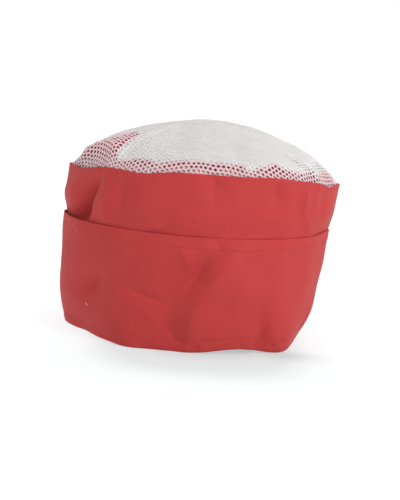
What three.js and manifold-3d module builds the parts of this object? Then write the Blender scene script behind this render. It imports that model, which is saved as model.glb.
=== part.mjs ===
// A cook's net-topped skull cap, at rest on its rim, in millimetres.
// X points right, Y away from the front and Z up. The origin is the middle of the footprint.
// Angles are in degrees, counter-clockwise seen from above, from the right-hand side: 270 is the front.

import * as THREE from "three";
import { mergeVertices } from "three/addons/utils/BufferGeometryUtils.js";
import Module from "manifold-3d";

// Driving dimensions
const SEAM_HEIGHT = 120.5; // from the surface up to the seam between band and net
const CUFF_HEIGHT = { front: 79, side: 83.5, back: 81 }; // top edge of the turned-up cuff
const DOME_RISE = 42.2; // from the seam up to the middle of the net
const BAND_CLOTH = 1.2;
const CUFF_CLOTH = 1.5; // two plies
const NET_CLOTH = 1.2;
const CLEARANCE = 0.3; // between layers that lie on each other
const NET_LAP = 8; // the net's edge inside the top of the band
const CUFF_TUCK = 10; // the cuff's short leg inside the bottom of the band
const CUFF_BLEND = 9; // height over which the band comes out from behind the cuff
const RIM_ROUNDING = 0.8; // at the fold that the cap rests on
const GRID = { pitch: 15, hole: 9, turn: -12, margin: 0.95 }; // the net's holes, from above
const FRONT_STEP = 4.5; // degrees between sections of the creased front half
const BACK_STEP = 9; // degrees between sections of the smooth back half

// Half-widths of the outside at each height
const SECTIONS = [
  { height: 0, left: 99.5, right: 83.5, front: 90, back: 88 },
  { height: 20, left: 104, right: 90.5, front: 91.5, back: 90 },
  { height: 45, left: 104.8, right: 95, front: 93.5, back: 93 },
  { height: 80, left: 104.4, right: 99.4, front: 96.5, back: 96 },
  { height: 100, left: 104.4, right: 102.3, front: 98, back: 97.5 },
  { height: 120, left: 101.8, right: 104.3, front: 99, back: 98 },
];

// Where the slack rim departs from an oval: a straight run at the left front and soft corners beside it
const CORNERS = [
  { angle: 210, reach: 16, fade: 22, push: -8 },
  { angle: 243, reach: 8, fade: 26, push: 4.5 },
  { angle: 314, reach: 10, fade: 26, push: 7 },
  { angle: 346, reach: 14, fade: 12, push: -3 },
];

// The seam is higher round the back and waves a little in front, the rim lifts off the surface in one arch,
// and the cuff's top edge rises at both sides
const SEAM_WAVES = [
  { angle: 62, reach: 38, lift: 11.5 },
  { angle: 124, reach: 38, lift: 12.5 },
  { angle: 185, reach: 8, lift: 0.4 },
  { angle: 214, reach: 7, lift: -2.2 },
  { angle: 246, reach: 9, lift: -2.2 },
  { angle: 300, reach: 10, lift: 1 },
  { angle: 332, reach: 7, lift: -2.4 },
];
const RIM_ARCHES = [{ angle: 291, reach: 13, lift: 3.4 }];
const CUFF_WAVES = [
  { angle: 189, reach: 16, lift: 2.6 },
  { angle: 347, reach: 17, lift: 3 },
];

// Dents (below zero) and ridges of the cloth: tilt is from upright, towards growing angles
const BAND_FOLDS = [
  { angle: 215, height: 92, tilt: 38, across: 9, along: 21, depth: -8 },
  { angle: 315, height: 101, tilt: 0, across: 8, along: 13, depth: -2.4 },
  { angle: 316, height: 104, tilt: -7, across: 5, along: 12, depth: 1.6 },
  { angle: 301, height: 110, tilt: 10, across: 6, along: 9, depth: -2 },
  { angle: 277, height: 110, tilt: -10, across: 7, along: 9, depth: -1.8 },
];
const CUFF_FOLDS = [
  { angle: 219, height: 34, tilt: 0, across: 14, along: 18, depth: -2.5 },
  { angle: 248, height: 37, tilt: 106, across: 7, along: 22, depth: -1.8 },
  { angle: 265, height: 46, tilt: 30, across: 11, along: 28, depth: -3 },
  { angle: 277, height: 46, tilt: 22, across: 8, along: 30, depth: 1.8 },
  { angle: 262, height: 14, tilt: -20, across: 9, along: 14, depth: -1.8 },
];

// The net's height over the seam: a row for each direction from its middle, a column for each of its rings
const DOME = [
  { angle: 0, rises: [40.4, 35.2, 27.6, 19.4, 11.8, 5.8, 0] },
  { angle: 50, rises: [42.2, 37, 27.4, 17.6, 10.4, 5, 0] },
  { angle: 90, rises: [42.2, 36.6, 26.4, 16.8, 9.8, 4.4, 0] },
  { angle: 140, rises: [40.6, 35.2, 26, 16.8, 9.8, 4.6, 0] },
  { angle: 180, rises: [39.2, 34.2, 27.6, 18.4, 10.2, 4.6, 0] },
  { angle: 197, rises: [38.3, 34, 27.4, 18.6, 10.6, 5.2, 0] },
  { angle: 206, rises: [37.9, 33.9, 27.8, 21.4, 16.4, 11.4, 0] },
  { angle: 213, rises: [37.5, 33.6, 28.2, 23, 19, 14.6, 0] },
  { angle: 220, rises: [37.2, 33.4, 28.6, 24.4, 20.6, 15.6, 0] },
  { angle: 227, rises: [36.8, 32.6, 27.4, 22.8, 19, 14.2, 0] },
  { angle: 234, rises: [36.3, 30.6, 23.6, 16.6, 10.8, 6.4, 0] },
  { angle: 250, rises: [35.8, 28.8, 20.8, 14.6, 10.8, 7.6, 0] },
  { angle: 285, rises: [35.8, 28.6, 20.6, 14.5, 10.8, 7.7, 0] },
  { angle: 325, rises: [37.6, 31.6, 24, 17.4, 12, 7.4, 0] },
  { angle: 360, rises: [40.4, 35.2, 27.6, 19.4, 11.8, 5.8, 0] },
];

// Those rings, at shares of the way out from the middle, each with a point on every so many-th section
const DOME_RINGS = [
  { share: 0.25, every: 4 },
  { share: 0.45, every: 4 },
  { share: 0.65, every: 2 },
  { share: 0.8, every: 2 },
  { share: 0.9, every: 1 },
  { share: 0.96, every: 1 },
  { share: 1, every: 1 },
];

// Shares of each height at which the walls have a row of points
const CUFF_ROWS = [0.3, 0.5, 0.7, 0.87, 1];
const BAND_ROWS = [0.16, 0.4, 0.7, 1];

const CLOTH = { color: "#c04747", roughness: 0.9, metalness: 0 };
const NET = { color: "#dedcda", roughness: 0.8, metalness: 0 };

const radians = THREE.MathUtils.degToRad;
const bell = (distance) => Math.exp(-distance * distance);
const turn = (angle, from) => THREE.MathUtils.euclideanModulo(angle - from + 180, 360) - 180;

const onWall = (angle, radius, height) => [
  radius * Math.cos(radians(angle)),
  radius * Math.sin(radians(angle)),
  height,
];

// A column of the section table at any height, on a smooth curve through its rows.
function sectionAt(column, height) {
  const at = THREE.MathUtils.clamp(height, SECTIONS[0].height, SECTIONS.at(-1).height);
  const last = SECTIONS.length - 1;
  const slope = (i) => {
    const before = SECTIONS[Math.max(i - 1, 0)];
    const after = SECTIONS[Math.min(i + 1, last)];
    return (after[column] - before[column]) / (after.height - before.height);
  };
  const i = Math.min(SECTIONS.findLastIndex((row) => row.height <= at), last - 1);
  const low = SECTIONS[i];
  const high = SECTIONS[i + 1];
  const span = high.height - low.height;
  const t = (at - low.height) / span;
  return (
    low[column] * (1 - t) ** 2 * (1 + 2 * t) +
    slope(i) * span * t * (1 - t) ** 2 +
    high[column] * t ** 2 * (3 - 2 * t) +
    slope(i + 1) * span * t ** 2 * (t - 1)
  );
}

// The plain outside of the cap, without its folds.
function outline(angle, height) {
  const x = Math.cos(radians(angle));
  const y = Math.sin(radians(angle));
  const wide = sectionAt(x > 0 ? "right" : "left", height);
  const deep = sectionAt(y > 0 ? "back" : "front", height);
  const oval = 1 / Math.hypot(x / wide, y / deep);
  return CORNERS.reduce(
    (sum, corner) =>
      sum + corner.push * bell(turn(angle, corner.angle) / corner.reach) * bell(height / corner.fade),
    oval,
  );
}

const wave = (rows, angle) =>
  rows.reduce((sum, row) => sum + row.lift * bell(turn(angle, row.angle) / row.reach), 0);
const seamHeight = (angle) => SEAM_HEIGHT + wave(SEAM_WAVES, angle);
const rimHeight = (angle) => wave(RIM_ARCHES, angle);

function cuffHeight(angle) {
  const y = Math.sin(radians(angle));
  const facing = y > 0 ? CUFF_HEIGHT.back : CUFF_HEIGHT.front;
  return THREE.MathUtils.lerp(CUFF_HEIGHT.side, facing, y * y) + wave(CUFF_WAVES, angle);
}

// How far a table of folds pushes the cloth out at a place on the wall.
function folds(rows, angle, height) {
  const girthStep = radians(SECTIONS[2].front);
  return rows.reduce((sum, row) => {
    const sideways = turn(angle, row.angle) * girthStep;
    const upwards = height - row.height;
    const [c, s] = [Math.cos(radians(row.tilt)), Math.sin(radians(row.tilt))];
    const across = (sideways * c - upwards * s) / row.across;
    const along = (sideways * s + upwards * c) / row.along;
    return sum + row.depth * bell(across) * bell(along);
  }, 0);
}

const cuffRadius = (angle, height) => outline(angle, height) + folds(CUFF_FOLDS, angle, height);

// The band lies behind the cuff as high as the cuff goes, and comes out to the outline above it.
function bandRadius(angle, height) {
  const above = (height - cuffHeight(angle)) / CUFF_BLEND;
  const covered = 1 - THREE.MathUtils.smoothstep(above, 0, 1);
  const behind = folds(CUFF_FOLDS, angle, height) - CUFF_CLOTH - CLEARANCE;
  return outline(angle, height) + covered * behind + folds(BAND_FOLDS, angle, height);
}

const netRadius = (angle, height) => bandRadius(angle, height) - BAND_CLOTH - CLEARANCE;

// The net's height over the seam on one of its rings.
function domeRise(ring, angle) {
  const next = DOME.findIndex((row) => row.angle > angle);
  const [low, high] = [DOME[next - 1], DOME[next]];
  const t = THREE.MathUtils.smoothstep(angle, low.angle, high.angle);
  return THREE.MathUtils.lerp(low.rises[ring], high.rises[ring], t);
}

// A place on a ring of the net, a depth under its outside.
function netPoint(ring, angle, depth) {
  const { share } = DOME_RINGS[ring];
  const seam = seamHeight(angle);
  const rise = domeRise(ring, angle) * (1 - depth / DOME_RISE);
  const height = THREE.MathUtils.lerp(SEAM_HEIGHT, seam, share ** 2) + rise;
  return onWall(angle, (netRadius(angle, seam) - depth) * share, height);
}

// The angles of the sections, closer together round the front.
function stations() {
  const run = (from, to, step) => Array.from({ length: (to - from) / step }, (_, i) => from + i * step);
  return [...run(0, 180, BACK_STEP), ...run(180, 360, FRONT_STEP)];
}

// Joins rings of points, listed up the outside and down the inside, into one closed skin.
// A ring has as many points as its neighbour, a half, a quarter or just one, which closes that end.
// Without an end of one point, the last ring joins the first.
// Each four-sided face is split the same way up and down, so that layers stay a clearance apart.
function skin(rings) {
  const starts = [];
  let count = 0;
  for (const ring of rings) {
    starts.push(count);
    count += ring.length;
  }
  const faces = [];
  const open = rings[0].length === 1;
  for (let row = 0; row < rings.length - (open ? 1 : 0); row++) {
    const next = (row + 1) % rings.length;
    const rising = rings[next][0][2] > rings[row][0][2];
    const sides = Math.max(rings[row].length, rings[next].length);
    for (let side = 0; side < sides; side++) {
      const at = (ring, step) => {
        const points = rings[ring].length;
        return starts[ring] + (Math.floor(((side + step) * points) / sides) % points);
      };
      const [a, b, c, d] = [at(row, 0), at(row, 1), at(next, 1), at(next, 0)];
      const pair = rising ? [[a, b, c], [a, c, d]] : [[a, b, d], [b, c, d]];
      faces.push(...pair.filter((corners) => new Set(corners).size === 3).flat());
    }
  }
  const geometry = new THREE.BufferGeometry();
  geometry.setAttribute("position", new THREE.Float32BufferAttribute(rings.flat(2), 3));
  geometry.setIndex(faces);
  return geometry;
}

// Turns sections, one for each angle and all with as many points, into rings.
const asRings = (sections) => sections[0].map((_, i) => sections.map((section) => section[i]));

// The cuff: a tall leg outside, a fold under the band's edge and a short leg inside.
function cuffSection(angle) {
  const rim = rimHeight(angle);
  const top = cuffHeight(angle);
  const outside = (height, depth) => onWall(angle, cuffRadius(angle, height) - depth, height);
  const heights = [rim + CUFF_TUCK, ...CUFF_ROWS.map((share) => THREE.MathUtils.lerp(rim, top, share))];
  const trough = CUFF_CLOTH + 2 * CLEARANCE + BAND_CLOTH;
  const inside = trough + BAND_CLOTH;
  return [
    onWall(angle, cuffRadius(angle, rim) - RIM_ROUNDING, rim),
    outside(rim + CUFF_CLOTH, 0),
    ...heights.map((height) => outside(height, 0)),
    ...heights.toReversed().map((height) => outside(height, CUFF_CLOTH)),
    outside(rim + CUFF_CLOTH, CUFF_CLOTH),
    outside(rim + CUFF_CLOTH, trough),
    outside(rim + CUFF_TUCK, trough),
    outside(rim + CUFF_TUCK, inside),
    outside(rim + CUFF_CLOTH, inside),
    onWall(angle, cuffRadius(angle, rim) - inside + RIM_ROUNDING, rim),
  ];
}

// The side band, from the trough of the cuff up to the seam.
function bandSection(angle) {
  const rim = rimHeight(angle);
  const edge = cuffHeight(angle);
  const seam = seamHeight(angle);
  const heights = [
    rim + CUFF_CLOTH + CLEARANCE,
    rim + CUFF_TUCK,
    ...CUFF_ROWS.map((share) => THREE.MathUtils.lerp(rim, edge, share)),
    ...BAND_ROWS.map((share) => THREE.MathUtils.lerp(edge, seam - NET_LAP, share)),
    seam,
  ];
  const wall = (height, depth) => onWall(angle, bandRadius(angle, height) - depth, height);
  return [
    ...heights.map((height) => wall(height, 0)),
    ...heights.toReversed().map((height) => wall(height, BAND_CLOTH)),
  ];
}

// The uncut net: its lap down inside the band and its dome, inside first.
function netRings(angles) {
  const lap = (depth) =>
    angles.map((angle) => {
      const foot = seamHeight(angle) - NET_LAP;
      return onWall(angle, netRadius(angle, foot) - depth, foot);
    });
  const dome = (depth) =>
    DOME_RINGS.map(({ every }, ring) =>
      angles.filter((_, i) => i % every === 0).map((angle) => netPoint(ring, angle, depth)),
    );
  const middle = (depth) => onWall(0, 0, SEAM_HEIGHT + DOME_RISE - depth);
  return [
    [middle(NET_CLOTH)],
    ...dome(NET_CLOTH),
    lap(NET_CLOTH),
    lap(0),
    ...dome(0).toReversed(),
    [middle(0)],
  ];
}

// The upright cutters of the net's holes, on a square grid.
function netCutters() {
  const height = 2 * DOME_RISE;
  const grid = new THREE.Group();
  grid.rotation.z = radians(GRID.turn);
  grid.position.z = SEAM_HEIGHT + height / 2;
  const reach = Math.ceil(SECTIONS.at(-1).right / GRID.pitch);
  for (let column = -reach; column <= reach; column++) {
    for (let row = -reach; row <= reach; row++) {
      const hole = new THREE.Mesh(new THREE.BoxGeometry(GRID.hole, GRID.hole, height));
      hole.position.set(column * GRID.pitch, row * GRID.pitch, 0);
      grid.add(hole);
    }
  }
  grid.updateMatrixWorld(true);
  const holdsHole = (hole) => {
    const { x, y } = new THREE.Vector3().setFromMatrixPosition(hole.matrixWorld);
    const angle = THREE.MathUtils.radToDeg(Math.atan2(y, x));
    const corner = Math.hypot(x, y) + GRID.hole * Math.SQRT1_2;
    return corner < netRadius(angle, seamHeight(angle)) * GRID.margin;
  };
  return grid.children
    .filter(holdsHole)
    .map((hole) => hole.geometry.clone().applyMatrix4(hole.matrixWorld));
}

const wasm = await Module();
wasm.setup();

function solidOf(geometry) {
  const bare = geometry.clone();
  bare.deleteAttribute("normal");
  bare.deleteAttribute("uv");
  const merged = mergeVertices(bare);
  return new wasm.Manifold(
    new wasm.Mesh({
      numProp: 3,
      vertProperties: merged.attributes.position.array,
      triVerts: new Uint32Array(merged.index.array),
    }),
  );
}

// A geometry with the cutters taken out of it.
function pierced(geometry, cutters) {
  const holes = cutters.map(solidOf).reduce((all, hole) => all.add(hole));
  const { numProp, vertProperties, triVerts } = solidOf(geometry).subtract(holes).getMesh();
  const result = new THREE.BufferGeometry();
  result.setAttribute("position", new THREE.BufferAttribute(vertProperties, numProp));
  result.setIndex(new THREE.BufferAttribute(triVerts, 1));
  return result;
}

function piece(name, geometry, finish) {
  const mesh = new THREE.Mesh(geometry, new THREE.MeshStandardMaterial(finish));
  mesh.name = name;
  return mesh;
}

const angles = stations();
const cap = new THREE.Group();
cap.add(
  piece("cuff", skin(asRings(angles.map(cuffSection))), CLOTH),
  piece("side_band", skin(asRings(angles.map(bandSection))), CLOTH),
  piece("crown_net", pierced(skin(netRings(angles)), netCutters()), NET),
);

export default cap;
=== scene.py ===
"""A cook's net-topped skull cap: coral cloth band, tall turned-up cuff and low crown of white net.

Sizes are in millimetres here and become metres as each mesh is made. Angles are in degrees,
counter-clockwise seen from above and from the right-hand side, so 270 is the front.
"""

import logging
import math
from collections.abc import Sequence
from dataclasses import dataclass, field
from enum import Enum

import bpy
import numpy as np
from mathutils import Matrix, Vector


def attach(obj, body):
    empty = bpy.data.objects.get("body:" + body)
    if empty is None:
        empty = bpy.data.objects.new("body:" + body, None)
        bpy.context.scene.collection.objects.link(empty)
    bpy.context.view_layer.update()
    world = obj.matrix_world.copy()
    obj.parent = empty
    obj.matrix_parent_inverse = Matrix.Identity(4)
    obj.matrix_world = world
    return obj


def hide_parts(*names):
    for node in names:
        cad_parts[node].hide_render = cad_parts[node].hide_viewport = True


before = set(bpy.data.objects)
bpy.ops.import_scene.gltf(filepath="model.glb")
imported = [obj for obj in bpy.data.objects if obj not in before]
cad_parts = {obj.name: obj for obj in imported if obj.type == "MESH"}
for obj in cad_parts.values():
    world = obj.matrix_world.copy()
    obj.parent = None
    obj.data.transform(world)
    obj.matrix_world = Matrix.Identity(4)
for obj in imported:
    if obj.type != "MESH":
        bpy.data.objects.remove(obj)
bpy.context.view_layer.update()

LOG = logging.getLogger("skull_cap")
BODY = "root"
MM = 0.001
FULL_TURN = 360.0
GIRTH_STEP = math.radians(93.5)  # along the wall, for each degree round it
NEAR_PLANE = 0.1  # points of the flat net that are closer than this to its plane are on a hole's rim

UV_NAME = "Cloth"
PAINTED_CLOTH_GLOW = "Painted cloth glow"  # attribute of the net: how much coral cloth lies behind it, which sets the painted pink glow on the threads
OUTWARD = "outward"  # attribute of a line of stitches: the way out of the cloth

FLOAT = "NodeSocketFloat"
VECTOR = "NodeSocketVector"
GEOMETRY = "NodeSocketGeometry"
INTEGER = "NodeSocketInt"
MATERIAL = "NodeSocketMaterial"

Array = np.ndarray
Colour = tuple[float, float, float]
Place = tuple[float, float, float]


def bell(distance: Array) -> Array:
    """Gives a smooth hump of height 1 that fades out about 2 units away."""
    return np.exp(-distance * distance)


def turned(angle: Array, start: float) -> Array:
    """Gives the signed turn from a start angle, from -180 to 180 degrees."""
    return (angle - start + 180.0) % FULL_TURN - 180.0


def eased(share: Array) -> Array:
    """Gives a share, held from 0 to 1, with a soft start and end."""
    held = np.clip(share, 0.0, 1.0)
    return held * held * (3.0 - 2.0 * held)


def on_curve(stops: Array, values: Array, at: Array, first_slope: Array | None = None) -> Array:
    """Reads a smooth curve through a few values.

    Args:
        stops: Where the values stand, in rising order.
        values: The value at each stop.
        at: Where the curve is read.
        first_slope: The slope at the first stop, or None for the curve's own.

    Returns:
        The curve's value at each place.
    """
    slopes = np.gradient(values, stops)
    i = np.clip(np.searchsorted(stops, at, side="right") - 1, 0, len(stops) - 2)
    low_slope = slopes[i] if first_slope is None else np.where(i == 0, first_slope, slopes[i])
    span = stops[i + 1] - stops[i]
    t = (at - stops[i]) / span
    return (
        values[i] * (1 - t) ** 2 * (1 + 2 * t)
        + low_slope * span * t * (1 - t) ** 2
        + values[i + 1] * t**2 * (3 - 2 * t)
        + slopes[i + 1] * span * t**2 * (t - 1)
    )


def around(angle: Array, radius: Array, height: Array) -> Array:
    """Gives the points at these angles, distances from the cap's axis and heights."""
    turn = np.radians(angle)
    return np.stack(np.broadcast_arrays(radius * np.cos(turn), radius * np.sin(turn), height), -1)


def evenly_round(count: int) -> Array:
    """Gives evenly spaced angles all round the cap."""
    return np.arange(count) * FULL_TURN / count


def polar(flat: Array) -> tuple[Array, Array]:
    """Gives the angle of flat points, and their distance from the middle."""
    return np.degrees(np.arctan2(flat[:, 1], flat[:, 0])) % FULL_TURN, np.hypot(flat[:, 0], flat[:, 1])


class Profile(Enum):
    """How a fold runs from its line into the cloth beside it."""

    SOFT = "soft"
    CREASED = "creased"

    def across(self, distance: Array) -> Array:
        """Gives the share of a fold's depth that is left at a distance from its line.

        Args:
            distance: Distances from the line, in the fold's widths.

        Returns:
            The share at each distance.
        """
        if self is Profile.SOFT:
            return bell(distance)
        rounding = 0.12
        return np.exp(rounding - np.hypot(distance, rounding))


SOFT, CREASED = Profile.SOFT, Profile.CREASED


@dataclass(frozen=True)
class Section:
    """The half-widths of the cap's outside at one height."""

    height: float
    left: float
    right: float
    front: float
    back: float


@dataclass(frozen=True)
class Corner:
    """A place near the rim where the cap departs from an oval. It fades out upwards."""

    angle: float
    reach: float
    fade: float
    push: float


@dataclass(frozen=True)
class Wave:
    """A rise or a dip of an edge."""

    angle: float
    reach: float
    lift: float


def wave(rows: Sequence[Wave], angle: Array) -> Array:
    """Adds up the rises and dips at each angle."""
    return sum(row.lift * bell(turned(angle, row.angle) / row.reach) for row in rows)


@dataclass(frozen=True)
class Meridian:
    """The net's heights over the seam in one direction from its middle."""

    angle: float
    rises: tuple[float, ...]  # at each share of the way out but the first


@dataclass(frozen=True)
class Slant:
    """A line on the cloth, tilted from upright towards growing angles, with its width and length."""

    angle: float
    height: float
    tilt: float
    across: float
    along: float

    def offsets(self, angle: Array, height: Array) -> tuple[Array, Array]:
        """Gives how far places are from the middle of the line, in millimetres.

        Args:
            angle: Angles round the cap.
            height: Heights over the surface.

        Returns:
            The distances across the line and along it.
        """
        sideways = turned(angle, self.angle) * GIRTH_STEP
        upwards = height - self.height
        c, s = math.cos(math.radians(self.tilt)), math.sin(math.radians(self.tilt))
        return sideways * c - upwards * s, sideways * s + upwards * c


@dataclass(frozen=True)
class Fold(Slant):
    """A dent (below zero) or a ridge of the cloth."""

    depth: float
    lean: float = 0.0  # above zero the side towards growing angles is the steeper one
    profile: Profile = SOFT

    def push(self, angle: Array, height: Array) -> Array:
        """Gives how far the fold pushes the cloth out.

        Args:
            angle: Angles round the cap.
            height: Heights over the surface.

        Returns:
            The push at each place, in millimetres.
        """
        across, along = self.offsets(angle, height)
        width = self.across * (1.0 - self.lean * np.sign(across))
        return self.depth * self.profile.across(across / width) * bell(along / self.along)


@dataclass(frozen=True)
class Ripples:
    """Slight unevenness all round the cloth, always the same for the same seed."""

    seed: int
    length: float
    depth: float
    waves: int = 28

    def push(self, angle: Array, height: Array) -> Array:
        """Gives how far the ripples push the cloth out at each place.

        Args:
            angle: Angles round the cap.
            height: Heights over the surface.

        Returns:
            The push at each place, in millimetres.
        """
        draw = np.random.default_rng(self.seed)
        total = np.zeros(np.broadcast(angle, height).shape)
        for heading, phase in draw.uniform(0.0, math.tau, (self.waves, 2)):
            turns = round(math.degrees(GIRTH_STEP) * math.tau * math.cos(heading) / self.length)
            climb = math.tau * math.sin(heading) / self.length
            total += np.cos(turns * np.radians(angle) + climb * height + phase)
        return total * self.depth / math.sqrt(self.waves)


def pushed(rows: Sequence[Fold | Ripples], angle: Array, height: Array) -> Array:
    """Gives how far a list of folds and ripples pushes the cloth out at each place.

    Args:
        rows: The folds and ripples.
        angle: Angles round the cap.
        height: Heights over the surface.

    Returns:
        The push at each place, in millimetres.
    """
    total = np.zeros(np.broadcast(angle, height).shape)
    for row in rows:
        total += row.push(angle, height)
    return total


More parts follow.
